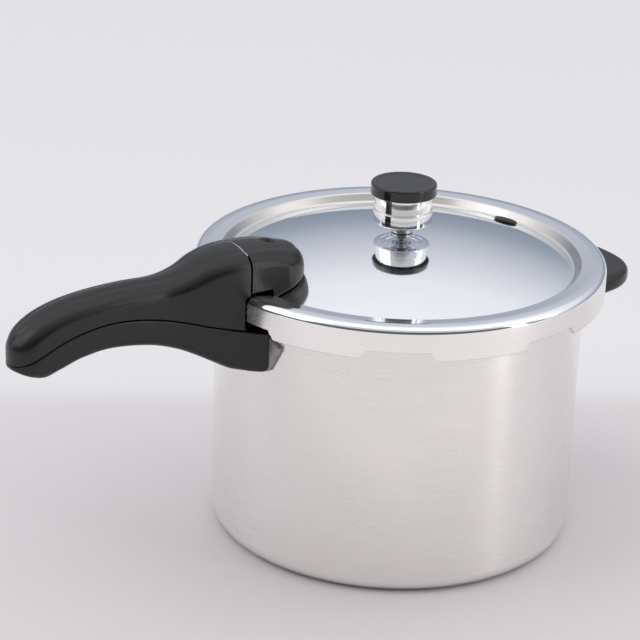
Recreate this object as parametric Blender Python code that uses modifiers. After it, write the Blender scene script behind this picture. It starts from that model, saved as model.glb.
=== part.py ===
"""Stovetop pressure cooker: aluminium pot and bayonet cover, black handles, weighted regulator.

Metres, +Z up. The origin is the centre of the pot's underside. The long handles run along -X
and the helper handle along +X. Everything is at rest: cover closed and locked.
"""
import math

import bmesh
import bpy
from mathutils import Matrix, Vector

MM = 0.001
GAP = 0.3 * MM                      # clearance between pieces that touch or nest

# Pot
POT_R = 111.0 * MM
POT_WALL = 2.8 * MM
POT_FLOOR = 4.5 * MM
POT_CORNER = 9.0 * MM
POT_RIM_Z = 163.4 * MM
LUG_COUNT = 8
LUG_PHASE = math.radians(31.0)      # angle of the middle of one cover lug from +X
POT_LUG_HALF = math.radians(8.5)
POT_LUG_R = 119.4 * MM
POT_LUG_LOW = 157.4 * MM
POT_LUG_HIGH = 160.9 * MM

# Cover
COVER_R = 123.5 * MM
COVER_THICK = 2.8 * MM
COVER_TOP = 173.0 * MM              # flat band round the edge
BAND_R = 108.0 * MM                 # inner edge of the flat band
RECESS_R = 105.0 * MM
RECESS_Z = COVER_TOP - 6.0 * MM
DOME_Z = 185.5 * MM
UNDER_SLACK = 0.5 * MM               # the dome's underside is flatter than its top by this much
SHOULDER = 4.0 * MM
SKIRT_LOW = 153.0 * MM              # lower edge at a lug
NOTCH_Z = 158.0 * MM                # lower edge between lugs
NOTCH_HALF = math.radians(10.0)
LIP_R = 113.5 * MM
LIP_THICK = 3.6 * MM
LIP_HALF = math.radians(11.6)

# Fittings through the cover
PIPE_HOLE_R = 4.2 * MM
PLUG_POLAR_R = 94.0 * MM
PLUG_ANGLE = math.radians(9.5)
PLUG_HOLE_R = 5.2 * MM
PLUG_HEAD_R = 7.4 * MM
LOCK_X = -95.8 * MM
LOCK_HOLE_R = 5.2 * MM
LOCK_STEM_R = 2.8 * MM
LOCK_TRAVEL = 4.5 * MM

# Regulator
REG_LOW = 192.2 * MM
REG_HIGH = REG_LOW + 17.0 * MM
REG_GROOVE = REG_LOW + 8.4 * MM
REG_BORE_TOP = REG_LOW + 10.7 * MM
REG_CAP_TOP = 216.8 * MM
REG_CAP_R = 19.7 * MM
REG_LOW_R = 17.7 * MM
REG_UP_R = 17.3 * MM
REG_SEAT_R = 5.6 * MM
CAP_SPIGOT_R = 3.0 * MM
PIPE_TOP = REG_LOW + 7.7 * MM

# Long handles. The outlines are (distance from the axis, height) in millimetres.
HEAD_HALF = 19.5 * MM
GRIP_HALF = 13.4 * MM
NOSE_TIP = 74.0 * MM
NOSE_END = 118.0 * MM
GRIP_START = 119.3 * MM
GRIP_END = 262.0 * MM
HANDLE_GAP = 0.6 * MM
NOSE_ROUND = 10.0 * MM              # how far back the nose and the tail are rounded in height
TAIL_ROUND = 6.0 * MM
TOP_LINE = [(60, 187), (72, 191.4), (86, 195), (104, 198.4), (126, 198.8), (141, 196.2), (154, 191.2),
            (169, 188.6), (190, 189), (210, 188.3), (228, 186), (242, 182), (252, 176.4), (263, 167.8)]
PART_LINE = [(104, 150.8), (120, 151.8), (133, 155), (146, 158.6), (159, 162.8), (179, 168.2),
             (197, 170.9), (213, 170.6), (231, 167), (244, 162), (263, 153.4)]
LOW_LINE = [(106, 126), (119, 126.6), (130, 129.8), (140, 135.2), (150, 140.8), (162, 146.6),
            (180, 152.4), (205, 155.6), (223, 153.6), (236, 149.6), (247, 147), (263, 153)]
TOP_ROUND = 11.0 * MM               # upper edges of the grip and the nose
TOP_CROWN = 1.8 * MM
HEAD_FLARE = 7.0 * MM               # the body handle's head widens by this much towards the pot
COVER_SCREWS = (131 * MM, 144 * MM)
STRAP_START = 110.7 * MM
BODY_SCREW = 129 * MM
TONGUE_HALF = 7.0 * MM
TONGUE_THICK = 6.0 * MM
BODY_TONGUE_LOW = 138.6 * MM
SCREW_HEAD_R = 3.6 * MM
SCREW_R = 2.0 * MM
SCREW_HEAD_HIGH = 2.4 * MM
SCREW_HOLE_R = 2.4 * MM
SCREW_BORE_R = 4.1 * MM
WASHER_THICK = 0.8 * MM

# Brackets: curved plates against the pot wall, with a tongue into each handle
BRACKET_THICK = 2.3 * MM
BRACKET_IN = POT_R + GAP + 0.05 * MM
BRACKET_OUT = BRACKET_IN + BRACKET_THICK

# Helper handle
HELPER_START = 112.0 * MM
HELPER_END = 168.4 * MM
HELPER_HALF = 39.5 * MM
HELPER_LOW = 131.6 * MM
HELPER_HIGH = 143.4 * MM
HELPER_SCREW = 131 * MM
HELPER_BOSS_LOW = 122.8 * MM
HELPER_TONGUE_LOW = 129.4 * MM

# Rack
RACK_R = 95.0 * MM
RACK_LOW = POT_FLOOR + GAP
RACK_HIGH = RACK_LOW + 8.5 * MM
RACK_THICK = 1.6 * MM
RACK_HOLE_R = 5.5 * MM
RACK_HOLES = [(32 * MM, 6, 0.0), (66 * MM, 12, 0.5)]    # radius, how many, phase

BIG_STEPS = 48
SMALL_STEPS = 24


# ---------------------------------------------------------------- scene helpers

def clear_scene():
    for obj in list(bpy.data.objects):
        bpy.data.objects.remove(obj, do_unlink=True)


def collection(name):
    coll = bpy.data.collections.get(name) or bpy.data.collections.new(name)
    if coll.name not in bpy.context.scene.collection.children:
        bpy.context.scene.collection.children.link(coll)
    return coll


def material(name, color, roughness, metallic):
    mat = bpy.data.materials.new(name)
    mat.use_nodes = True
    shader = mat.node_tree.nodes["Principled BSDF"]
    shader.inputs["Base Color"].default_value = (*color, 1.0)
    shader.inputs["Roughness"].default_value = roughness
    shader.inputs["Metallic"].default_value = metallic
    mat.diffuse_color = (*color, 1.0)
    return mat


def add(name, mesh, mat):
    obj = bpy.data.objects.new(name, mesh)
    if mat is None:
        CUTTERS.objects.link(obj)
        obj.display_type = "WIRE"
        obj.hide_render = True
    else:
        mesh.materials.clear()
        mesh.materials.append(mat)
        PARTS.objects.link(obj)
    return obj


def smooth(obj, angle=40.0):
    obj.data.shade_smooth()
    obj.data.set_sharp_from_angle(angle=math.radians(angle))
    return obj


def evaluated_mesh(obj):
    bpy.context.view_layer.update()
    graph = bpy.context.evaluated_depsgraph_get()
    return bpy.data.meshes.new_from_object(obj.evaluated_get(graph))


def weld(mesh, distance=0.01 * MM):
    bm = bmesh.new()
    bm.from_mesh(mesh)
    bmesh.ops.remove_doubles(bm, verts=bm.verts, dist=distance)
    bmesh.ops.recalc_face_normals(bm, faces=bm.faces)
    bm.to_mesh(mesh)
    bm.free()
    return mesh


def turned(name, profile, mat, steps=SMALL_STEPS, closed=False, at=(0.0, 0.0), stand=None):
    """Turn a profile of (radius, height) about Z. It runs down its outer side. stand tilts it."""
    mesh = bpy.data.meshes.new(name)
    edges = [(i, i + 1) for i in range(len(profile) - 1)]
    if closed:
        edges.append((len(profile) - 1, 0))
    mesh.from_pydata([(r, 0.0, z) for r, z in profile], edges, [])
    obj = add(name, mesh, mat)
    if stand is None:
        obj.location = (at[0], at[1], 0.0)
    else:
        obj.matrix_world = stand
    screw = obj.modifiers.new("turn", "SCREW")
    screw.axis = "Z"
    screw.steps = steps
    screw.render_steps = steps
    screw.use_merge_vertices = True
    screw.merge_threshold = 0.01 * MM
    screw.use_smooth_shade = True
    return obj


def flat_plate(name, outlines, low, high, mat, turn=None):
    """Fill closed outlines in the XY plane (or turned out of it) and give them thickness."""
    curve = bpy.data.curves.new(name, "CURVE")
    curve.dimensions = "2D"
    curve.fill_mode = "BOTH"
    curve.extrude = (high - low) / 2
    curve.render_resolution_u = 0
    for points in outlines:
        spline = curve.splines.new("POLY")
        spline.points.add(len(points) - 1)
        for point, (x, y) in zip(spline.points, points):
            point.co = (x, y, 0.0, 1.0)
        spline.use_cyclic_u = True
    temp = add(name + "_outline", curve, None)
    mesh = weld(evaluated_mesh(temp))
    bpy.data.objects.remove(temp, do_unlink=True)
    mesh.transform(Matrix.Translation((0.0, 0.0, (high + low) / 2)))
    if turn is not None:
        mesh.transform(turn)
    return add(name, mesh, mat)


def box(name, low, high, mat):
    bm = bmesh.new()
    bmesh.ops.create_cube(bm, size=1.0)
    size = [h - l for l, h in zip(low, high)]
    middle = [(h + l) / 2 for l, h in zip(low, high)]
    bmesh.ops.scale(bm, vec=size, verts=bm.verts)
    bmesh.ops.translate(bm, vec=middle, verts=bm.verts)
    mesh = bpy.data.meshes.new(name)
    bm.to_mesh(mesh)
    bm.free()
    return add(name, mesh, mat)


def cylinder(name, radius, low, high, mat=None, at=(0.0, 0.0), steps=SMALL_STEPS, top_radius=None):
    bm = bmesh.new()
    bmesh.ops.create_cone(bm, cap_ends=True, segments=steps, radius1=radius,
                          radius2=radius if top_radius is None else top_radius, depth=high - low)
    bmesh.ops.translate(bm, vec=(at[0], at[1], (low + high) / 2), verts=bm.verts)
    mesh = bpy.data.meshes.new(name)
    bm.to_mesh(mesh)
    bm.free()
    return add(name, mesh, mat)


def round_edges(obj, width, segments=2, angle=30.0):
    bevel = obj.modifiers.new("round", "BEVEL")
    bevel.width = width
    bevel.segments = segments
    bevel.limit_method = "ANGLE"
    bevel.angle_limit = math.radians(angle)
    return obj


def boolean(obj, other, operation):
    mod = obj.modifiers.new(operation.lower(), "BOOLEAN")
    mod.operation = operation
    mod.object = other
    mod.solver = "EXACT"
    return obj


def cut(obj, *cutters):
    for cutter in cutters:
        boolean(obj, cutter, "DIFFERENCE")
    return obj


def join(obj, *others):
    for other in others:
        boolean(obj, other, "UNION")
    return obj


# ---------------------------------------------------------------- geometry helpers

def arc(cx, cz, radius, start, end, count):
    """Points on an arc in degrees, count steps from start to end."""
    points = []
    for i in range(count + 1):
        a = math.radians(start + (end - start) * i / count)
        points.append((cx + radius * math.cos(a), cz + radius * math.sin(a)))
    return points


def dome_sphere():
    """Radius of the sphere that the dome is part of."""
    rise = DOME_Z - RECESS_Z
    return (RECESS_R ** 2 + rise ** 2) / (2 * rise)


def dome_height(radius):
    """Upper surface of the dome: an arc of a sphere from the middle to the recess edge."""
    sphere = dome_sphere()
    return DOME_Z - sphere + math.sqrt(sphere ** 2 - radius ** 2)


def plug_stand():
    """Where the overpressure plug stands: on the dome's surface, square to it."""
    slope = math.asin(PLUG_POLAR_R / dome_sphere())
    return (Matrix.Rotation(PLUG_ANGLE, 4, "Z")
            @ Matrix.Translation((PLUG_POLAR_R, 0.0, dome_height(PLUG_POLAR_R)))
            @ Matrix.Rotation(slope, 4, "Y"))


def line_height(line, u):
    """Height of a smooth curve (Catmull-Rom) through the line's points at distance u."""
    pts = [(a * MM, b * MM) for a, b in line]
    u = min(max(u, pts[0][0]), pts[-1][0])
    i = max(k for k in range(len(pts) - 1) if pts[k][0] <= u)
    p1, p2 = pts[i], pts[i + 1]
    p0 = pts[i - 1] if i else p1
    p3 = pts[i + 2] if i + 2 < len(pts) else p2
    span = p2[0] - p1[0]
    slope1 = (p2[1] - p0[1]) / (p2[0] - p0[0])
    slope2 = (p3[1] - p1[1]) / (p3[0] - p1[0])
    t = (u - p1[0]) / span
    return ((2 * t ** 3 - 3 * t ** 2 + 1) * p1[1] + (t ** 3 - 2 * t ** 2 + t) * span * slope1
            + (3 * t ** 2 - 2 * t ** 3) * p2[1] + (t ** 3 - t ** 2) * span * slope2)


def blend(low, high, value):
    """Smooth step from 0 at low to 1 at high."""
    t = min(max((value - low) / (high - low), 0.0), 1.0)
    return t * t * (3 - 2 * t)


def handle_half_width(u):
    """Half width of the long handles in plan: a wide head, then a narrower grip."""
    wide = HEAD_HALF + (GRIP_HALF - HEAD_HALF) * blend(122 * MM, 172 * MM, u)
    tail = GRIP_END - u
    if tail < GRIP_HALF:
        wide *= math.sqrt(max(1 - (1 - tail / GRIP_HALF) ** 2.4, 0.0))
    nose = u - NOSE_TIP
    if nose < HEAD_HALF:
        wide *= math.sqrt(max(1 - (1 - nose / HEAD_HALF) ** 2, 0.0))
    return wide


def end_drop(distance, radius):
    """How far a handle's top falls at this distance from its end, along a quarter circle."""
    left = max(1 - distance / radius, 0.0)
    return radius * (1 - math.sqrt(1 - left * left))


def section(u, half, low, high, low_round, high_round, crown):
    """One ring of a handle: rounded corners, and a top that rises by crown in the middle."""
    half = max(half, 0.4 * MM)
    low_round = min(low_round, 0.45 * (high - low), 0.9 * half)
    high_round = min(high_round, 0.7 * (high - low), 0.9 * half)
    side_top = high - crown * min(half / HEAD_HALF, 1.0)
    ring = []
    ring += arc(half - low_round, low + low_round, low_round, -90, 0, 3)
    ring += arc(half - high_round, side_top - high_round, high_round, 0, 90, 4)
    inner = half - high_round
    for k in (1, 2, 3):
        y = inner * (1 - k / 2)
        ring.append((y, side_top + (high - side_top) * (1 - (y / inner) ** 2)))
    ring = ring[:-1]
    ring += arc(-half + high_round, side_top - high_round, high_round, 90, 180, 4)
    ring += arc(-half + low_round, low + low_round, low_round, 180, 270, 3)
    return [Vector((-u, y, z)) for y, z in ring]


def loft(name, rings, mat):
    """Skin closed rings with equal point counts and cap both ends."""
    bm = bmesh.new()
    rows = [[bm.verts.new(p) for p in ring] for ring in rings]
    count = len(rows[0])
    for a, b in zip(rows, rows[1:]):
        for i in range(count):
            j = (i + 1) % count
            bm.faces.new((a[i], a[j], b[j], b[i]))
    bm.faces.new(rows[0])
    bm.faces.new(rows[-1][::-1])
    bmesh.ops.recalc_face_normals(bm, faces=bm.faces)
    mesh = bpy.data.meshes.new(name)
    bm.to_mesh(mesh)
    bm.free()
    return add(name, mesh, mat)


def stations(start, end, count, crowd_start=False, crowd_end=False):
    """Distances from start to end, closer together where the end is rounded."""
    values = []
    for i in range(count + 1):
        t = i / count
        if crowd_start and crowd_end:
            t = (1 - math.cos(math.pi * t)) / 2
        elif crowd_start:
            t = 1 - math.cos(math.pi * t / 2)
        elif crowd_end:
            t = math.sin(math.pi * t / 2)
        values.append(start + (end - start) * t)
    return values


def lug_angles(offset=0.0):
    return [LUG_PHASE + offset + 2 * math.pi * k / LUG_COUNT for k in range(LUG_COUNT)]


def lobed_outline(base, lobe, half, offset=0.0):
    """A circle of radius base with arcs of radius lobe at each lug."""
    points = []
    pitch = 2 * math.pi / LUG_COUNT
    for middle in lug_angles(offset):
        for k in range(-2, 3):
            a = middle + half * k / 2
            points.append((lobe * math.cos(a), lobe * math.sin(a)))
        for k in range(1, 6):
            a = middle + half + (pitch - 2 * half) * k / 6
            points.append((base * math.cos(a), base * math.sin(a)))
    return points


def circle(radius, count):
    step = 2 * math.pi / count
    return [(radius * math.cos(step * k), radius * math.sin(step * k)) for k in range(count)]


# ---------------------------------------------------------------- pot

def make_pot_body():
    inner = POT_R - POT_WALL
    inner_corner = POT_CORNER - POT_WALL
    profile = [(0.0, POT_FLOOR)]
    profile += arc(inner - inner_corner, POT_FLOOR + inner_corner, inner_corner, -90, 0, 3)
    profile += [(inner, POT_RIM_Z - 0.5 * MM), (inner + 0.5 * MM, POT_RIM_Z)]
    profile += [(POT_R - 0.4 * MM, POT_RIM_Z), (POT_R, POT_RIM_Z - 0.5 * MM)]
    profile += arc(POT_R - POT_CORNER, POT_CORNER, POT_CORNER, 0, -90, 5)
    profile += [(0.0, 0.0)]
    pot = turned("pot_body", profile, ALUMINIUM, BIG_STEPS)
    flange = flat_plate("pot_flange", [lobed_outline(POT_R + 0.8 * MM, POT_LUG_R, POT_LUG_HALF),
                                       circle(POT_R - 1.4 * MM, BIG_STEPS)],
                        POT_LUG_LOW, POT_LUG_HIGH, None)
    return join(pot, flange)


def make_cooking_rack():
    """Perforated disc standing on a turned-down rim."""
    holes = []
    for radius, count, phase in RACK_HOLES:
        for k in range(count):
            angle = 2 * math.pi * (k + phase) / count
            x, y = radius * math.cos(angle), radius * math.sin(angle)
            holes.append([(x + a, y + b) for a, b in circle(RACK_HOLE_R, 8)])
    disc = flat_plate("cooking_rack", [circle(RACK_R - 0.9 * MM, 36)] + holes,
                      RACK_HIGH - RACK_THICK, RACK_HIGH, ALUMINIUM)
    rim_in = RACK_R - RACK_THICK
    rim_high = RACK_HIGH - 0.2 * MM
    rim = turned("rack_rim", [(rim_in, rim_high), (RACK_R, rim_high), (RACK_R, RACK_LOW),
                              (rim_in, RACK_LOW)], None, 36, closed=True)
    return join(disc, rim)


# ---------------------------------------------------------------- cover

def cover_top_profile(offset=0.0):
    """Upper surface from the middle to the shoulder, raised by offset."""
    radii = [RECESS_R * k / 4 for k in range(5)]
    profile = [(r, dome_height(r) + offset) for r in radii]
    profile += [(RECESS_R + 0.9 * MM, RECESS_Z + 0.5 * MM + offset),
                (BAND_R - 1.1 * MM, COVER_TOP - 0.6 * MM + offset),
                (BAND_R, COVER_TOP + offset)]
    return profile


def make_cover():
    top = cover_top_profile()
    profile = list(top)
    profile += arc(COVER_R - SHOULDER, COVER_TOP - SHOULDER, SHOULDER, 90, 0, 3)
    profile += [(COVER_R, SKIRT_LOW + 0.6 * MM), (COVER_R - 0.6 * MM, SKIRT_LOW),
                (COVER_R - COVER_THICK, SKIRT_LOW),
                (COVER_R - COVER_THICK, COVER_TOP - SHOULDER),
                (COVER_R - SHOULDER, COVER_TOP - COVER_THICK),
                (BAND_R + 1.6 * MM, COVER_TOP - COVER_THICK),
                (BAND_R + 0.6 * MM, RECESS_Z - 1.4 * MM),
                (RECESS_R - 0.6 * MM, RECESS_Z - COVER_THICK)]
    profile += [(r, dome_height(r) - COVER_THICK) for r in (0.66 * RECESS_R, 0.33 * RECESS_R, 0.0)]
    cover = turned("cover", profile, POLISHED, BIG_STEPS)
    lips = flat_plate("cover_lips", [circle(COVER_R - 0.9 * MM, BIG_STEPS),
                                     lobed_outline(COVER_R - 1.6 * MM, LIP_R, LIP_HALF)],
                      SKIRT_LOW + 0.3 * MM, SKIRT_LOW + LIP_THICK, None)
    join(cover, lips)
    for k, angle in enumerate(lug_angles(math.pi / LUG_COUNT)):
        cut(cover, skirt_notch(f"skirt_notch_{k}", angle))
    plug_hole = cylinder("plug_hole", PLUG_HOLE_R, -9 * MM, 5 * MM, steps=16)
    plug_hole.matrix_world = plug_stand()
    cut(cover, plug_hole,
        cylinder("pipe_hole", PIPE_HOLE_R, DOME_Z - 9 * MM, DOME_Z + 6 * MM, steps=16),
        cylinder("lock_hole", LOCK_HOLE_R, RECESS_Z - 9 * MM, COVER_TOP + 3 * MM,
                 at=(LOCK_X, 0.0), steps=16))
    return cover


def skirt_notch(name, angle):
    """Cutter for the raised edge between two lugs: a run-out on one side, a step on the other."""
    half = COVER_R * math.sin(NOTCH_HALF)
    rise = NOTCH_Z - SKIRT_LOW
    ramp = 4.5 * MM
    side = []
    for k in range(6):
        t = k / 5
        side.append((-half + ramp * t, SKIRT_LOW + rise * blend(0, 1, t)))
    outline = [(half, SKIRT_LOW - 3 * MM), (half, SKIRT_LOW + 0.45 * rise),
               (half - 2.2 * MM, SKIRT_LOW + 0.62 * rise), (half - 2.6 * MM, NOTCH_Z)]
    outline += side[::-1]
    outline += [(-half - 0.6 * MM, SKIRT_LOW - 3 * MM)]
    stand = Matrix.Rotation(angle - math.pi / 2, 4, "Z") @ Matrix.Rotation(math.pi / 2, 4, "X")
    return flat_plate(name, [outline], -COVER_R - 5 * MM, -COVER_R + 4 * MM, None, stand)


def make_sealing_ring():
    low = POT_RIM_Z + GAP
    high = COVER_TOP - COVER_THICK - GAP
    inside = BAND_R + 2.3 * MM
    outside = COVER_R - COVER_THICK - 1.6 * MM
    profile = [(inside + 0.8 * MM, high), (outside - 0.8 * MM, high), (outside, high - 0.8 * MM),
               (outside, low + 0.6 * MM), (outside - 0.6 * MM, low), (outside - 3.2 * MM, low),
               (outside - 3.6 * MM, low + 2.2 * MM), (inside + 3.2 * MM, low + 2.2 * MM),
               (inside + 2.6 * MM, low), (inside + 0.6 * MM, low), (inside, low + 0.6 * MM),
               (inside, high - 0.8 * MM)]
    return turned("sealing_ring", profile, BLACK_RUBBER, BIG_STEPS, closed=True)


def make_overpressure_plug():
    """Rubber button, flush with the dome, in its own frame: the dome's surface is at height 0."""
    neck = PLUG_HOLE_R - GAP
    under = -COVER_THICK - UNDER_SLACK - GAP
    profile = [(0.0, 1.2 * MM), (3.6 * MM, 1.2 * MM), (4.2 * MM, 1.9 * MM), (6.2 * MM, 1.9 * MM),
               (PLUG_HEAD_R, 1.1 * MM), (PLUG_HEAD_R, GAP), (neck, GAP), (neck, under),
               (6.2 * MM, under), (5.6 * MM, under - 2.2 * MM), (3.2 * MM, under - 3.4 * MM),
               (0.0, under - 3.4 * MM)]
    return turned("overpressure_plug", profile, BLACK_RUBBER, 16, stand=plug_stand())


def make_cover_lock():
    """Rubber grommet in the cover, and the pin that steam lifts in it to lock the handle."""
    radius = -LOCK_X
    flange_r = 6.2 * MM
    under = dome_height(radius + flange_r) - COVER_THICK - UNDER_SLACK - GAP
    top = dome_height(radius) + 1.8 * MM
    outer = LOCK_HOLE_R - GAP
    inner = LOCK_STEM_R + GAP
    turned("cover_lock_gasket", [
        (inner, top), (outer, top), (outer, under), (flange_r, under), (flange_r, under - 1.8 * MM),
        (inner, under - 1.8 * MM)], BLACK_RUBBER, 16, closed=True, at=(LOCK_X, 0.0))
    rest = top + GAP
    flange = under - 1.8 * MM - LOCK_TRAVEL
    turned("cover_lock_pin", [
        (0.0, rest + 3.4 * MM), (LOCK_STEM_R - 0.8 * MM, rest + 3.4 * MM),
        (LOCK_STEM_R, rest + 2.8 * MM), (LOCK_STEM_R, rest + 1.4 * MM), (4.2 * MM, rest + 1.4 * MM), (4.2 * MM, rest),
        (LOCK_STEM_R, rest), (LOCK_STEM_R, flange), (3.8 * MM, flange), (4.0 * MM, flange - 1.2 * MM),
        (3.6 * MM, flange - 1.6 * MM), (0.0, flange - 1.6 * MM)], STEEL, 16, at=(LOCK_X, 0.0))


def make_vent_pipe():
    """Turned pipe through the middle of the dome, with a collar above and a nut below."""
    seat = DOME_Z + GAP
    under = DOME_Z - COVER_THICK - 0.3 * MM
    stem = PIPE_HOLE_R - GAP
    bore = 1.3 * MM
    neck = 2.7 * MM
    shaft = 3.5 * MM
    turned("vent_pipe", [
        (bore, PIPE_TOP), (1.9 * MM, PIPE_TOP), (neck, PIPE_TOP - 2.4 * MM), (neck, REG_LOW - 1.0 * MM),
        (shaft, REG_LOW - 1.8 * MM), (shaft, seat + 2.2 * MM), (6.0 * MM, seat + 2.2 * MM),
        (6.4 * MM, seat + 1.8 * MM), (6.4 * MM, seat), (stem, seat), (stem, under - 6.0 * MM),
        (bore, under - 6.0 * MM)], STEEL, 16, closed=True)
    flat_plate("vent_pipe_nut", [circle(7.4 * MM, 6), circle(stem + GAP, 12)],
               under - 4.2 * MM, under - 0.2 * MM, STEEL)


# ---------------------------------------------------------------- regulator

def make_regulator():
    """Loose weight in two turned steps, a steel seat inside it and a moulded cap on top."""
    bore = REG_SEAT_R + GAP
    bore_top = REG_BORE_TOP
    spigot_low = bore_top + 1.8 * MM
    turned("regulator_weight", [
        (0.0, bore_top + 1.4 * MM), (CAP_SPIGOT_R + GAP, bore_top + 1.4 * MM),
        (CAP_SPIGOT_R + GAP, REG_HIGH), (REG_UP_R - 0.5 * MM, REG_HIGH),
        (REG_UP_R, REG_HIGH - 0.5 * MM), (REG_UP_R, REG_GROOVE + 0.5 * MM),
        (REG_UP_R - 0.7 * MM, REG_GROOVE), (REG_LOW_R - 1.1 * MM, REG_GROOVE - 0.5 * MM),
        (REG_LOW_R, REG_GROOVE - 1.1 * MM), (REG_LOW_R, REG_LOW + 0.8 * MM),
        (REG_LOW_R - 0.8 * MM, REG_LOW), (10.5 * MM, REG_LOW), (9.5 * MM, REG_LOW + 1.2 * MM),
        (bore, REG_LOW + 1.2 * MM), (bore, bore_top), (0.0, bore_top)], CHROME, 28)
    turned("regulator_seat", [
        (0.0, bore_top - GAP), (REG_SEAT_R, bore_top - GAP), (REG_SEAT_R, REG_LOW + 1.4 * MM),
        (3.4 * MM, REG_LOW + 1.4 * MM), (3.1 * MM, REG_LOW + 5.9 * MM), (2.2 * MM, PIPE_TOP + 0.4 * MM),
        (0.0, PIPE_TOP + 0.8 * MM)], STEEL, 16)
    low = REG_HIGH + GAP
    turned("regulator_cap", [
        (0.0, REG_CAP_TOP - 0.5 * MM), (REG_CAP_R - 3.4 * MM, REG_CAP_TOP - 0.4 * MM),
        (REG_CAP_R - 2.2 * MM, REG_CAP_TOP), (REG_CAP_R - 0.9 * MM, REG_CAP_TOP - 0.3 * MM),
        (REG_CAP_R, REG_CAP_TOP - 1.4 * MM), (REG_CAP_R, low + 1.0 * MM), (REG_CAP_R - 0.8 * MM, low),
        (CAP_SPIGOT_R, low), (CAP_SPIGOT_R, spigot_low), (0.0, spigot_low)], BLACK_GLOSS, 28)


# ---------------------------------------------------------------- long handles

def cover_envelope():
    """The closed cover's outside grown by the clearance: cuts the handle's underside to fit."""
    profile = cover_top_profile(0.45 * MM)
    profile += [(COVER_R + 0.8 * MM, COVER_TOP + 0.45 * MM), (COVER_R + 0.8 * MM, 120 * MM),
                (0.0, 120 * MM)]
    return turned("cover_envelope", profile, None, BIG_STEPS)


def nose_low(u, half):
    """Height of the nose's underside: just clear of the dome or the band where its sides stand."""
    reach = math.hypot(u, half)
    surface = dome_height(reach) if reach < RECESS_R else COVER_TOP
    return surface + 2 * GAP


def upper_handle_rings(start, end, count, crowd_start, crowd_end):
    rings = []
    for u in stations(start, end, count, crowd_start, crowd_end):
        half = handle_half_width(u)
        on_cover = u < GRIP_START
        low = nose_low(u, half) if on_cover else line_height(PART_LINE, u) + HANDLE_GAP
        low_round = 2.6 * MM if on_cover else 0.8 * MM
        high = line_height(TOP_LINE, u)
        high -= end_drop(u - NOSE_TIP, NOSE_ROUND) + end_drop(GRIP_END - u, TAIL_ROUND)
        rings.append(section(u, half, low, high, low_round, TOP_ROUND, TOP_CROWN))
    return rings


def make_cover_handle():
    """Grip and nose, lofted along the same outline and cut to fit over the closed cover."""
    envelope = cover_envelope()
    strap_slot = box("strap_slot", (-(COVER_SCREWS[1] + 7 * MM), -9.4 * MM, COVER_TOP - 0.4 * MM),
                     (-(STRAP_START - 0.6 * MM), 9.4 * MM, COVER_TOP + 3.4 * MM), None)
    grip = loft("cover_handle_grip",
                upper_handle_rings(GRIP_START, GRIP_END - 0.2 * MM, 20, False, True), BLACK_PHENOLIC)
    nose = loft("cover_handle_nose",
                upper_handle_rings(NOSE_TIP + 0.2 * MM, NOSE_END, 10, True, False), BLACK_PHENOLIC)
    cut(grip, envelope, strap_slot)
    pocket = cylinder("lock_pocket", 8.0 * MM, 160 * MM, 183.4 * MM, at=(LOCK_X, 0.0))
    view_hole = cylinder("view_hole", 3.6 * MM, 180 * MM, 206 * MM, at=(LOCK_X, 0.0), steps=12)
    rim = line_height(TOP_LINE, -LOCK_X)
    countersink = cylinder("view_countersink", 3.2 * MM, rim - 2.0 * MM, rim + 2.0 * MM,
                           at=(LOCK_X, 0.0), steps=20, top_radius=6.4 * MM)
    cut(nose, envelope, strap_slot, pocket, view_hole, countersink)
    for k, u in enumerate(COVER_SCREWS):
        floor = line_height(PART_LINE, u)
        cut(grip,
            cylinder(f"screw_hole_{k}", SCREW_HOLE_R, floor - 5 * MM, cover_screw_hole_top(u),
                     at=(-u, 0.0), steps=12),
            cylinder(f"screw_bore_{k}", SCREW_BORE_R, floor - 5 * MM, floor + 6 * MM,
                     at=(-u, 0.0), steps=12))
    smooth(grip)
    smooth(nose)


def make_trim_strip():
    """Thin bright inlay across the top of the handle, between nose and grip."""
    rings = []
    for u in (NOSE_END + GAP, GRIP_START - GAP):
        half = handle_half_width(u)
        high = line_height(TOP_LINE, u) - 0.15 * MM
        full = section(u, half, 150 * MM, high, 0.8 * MM, TOP_ROUND, TOP_CROWN)
        top = [p for p in full if p.z > high - 3.2 * MM]
        lower = [Vector((p.x, p.y * 0.88, p.z - 1.6 * MM)) for p in reversed(top)]
        rings.append(top + lower)
    return loft("handle_trim_strip", rings, STEEL)


def make_cover_handle_bracket():
    """Steel strap on the cover's edge band, which the two handle screws pass through."""
    low = COVER_TOP + 2 * GAP
    strap = box("cover_handle_bracket", (-(COVER_SCREWS[1] + 6.4 * MM), -8.8 * MM, low),
                (-STRAP_START, 8.8 * MM, low + BRACKET_THICK), STEEL)
    for k, u in enumerate(COVER_SCREWS):
        cut(strap, cylinder(f"strap_hole_{k}", SCREW_HOLE_R, 170 * MM, 180 * MM, at=(-u, 0.0), steps=12))


def screw(name, u, seat, tip):
    """Pan-head screw pointing up from a washer below seat: dished recess, head, shank, tip."""
    washer(name.replace("screw", "washer"), u, seat - WASHER_THICK - GAP)
    low = seat - WASHER_THICK - 2 * GAP - SCREW_HEAD_HIGH
    top = low + SCREW_HEAD_HIGH
    profile = [(0.0, tip), (SCREW_R - 0.6 * MM, tip), (SCREW_R, tip - 0.8 * MM), (SCREW_R, top),
               (SCREW_HEAD_R, top), (SCREW_HEAD_R, low + 0.8 * MM), (SCREW_HEAD_R - 0.8 * MM, low),
               (1.4 * MM, low), (0.9 * MM, low + 1.2 * MM), (0.0, low + 1.2 * MM)]
    turned(name, profile, STEEL, 12, at=(u, 0.0))


def washer(name, u, low):
    inner, outer, high = SCREW_HOLE_R, SCREW_HEAD_R + 0.2 * MM, low + WASHER_THICK
    profile = [(inner, high), (outer, high), (outer, low), (inner, low)]
    turned(name, profile, STEEL, 12, closed=True, at=(u, 0.0))


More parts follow.
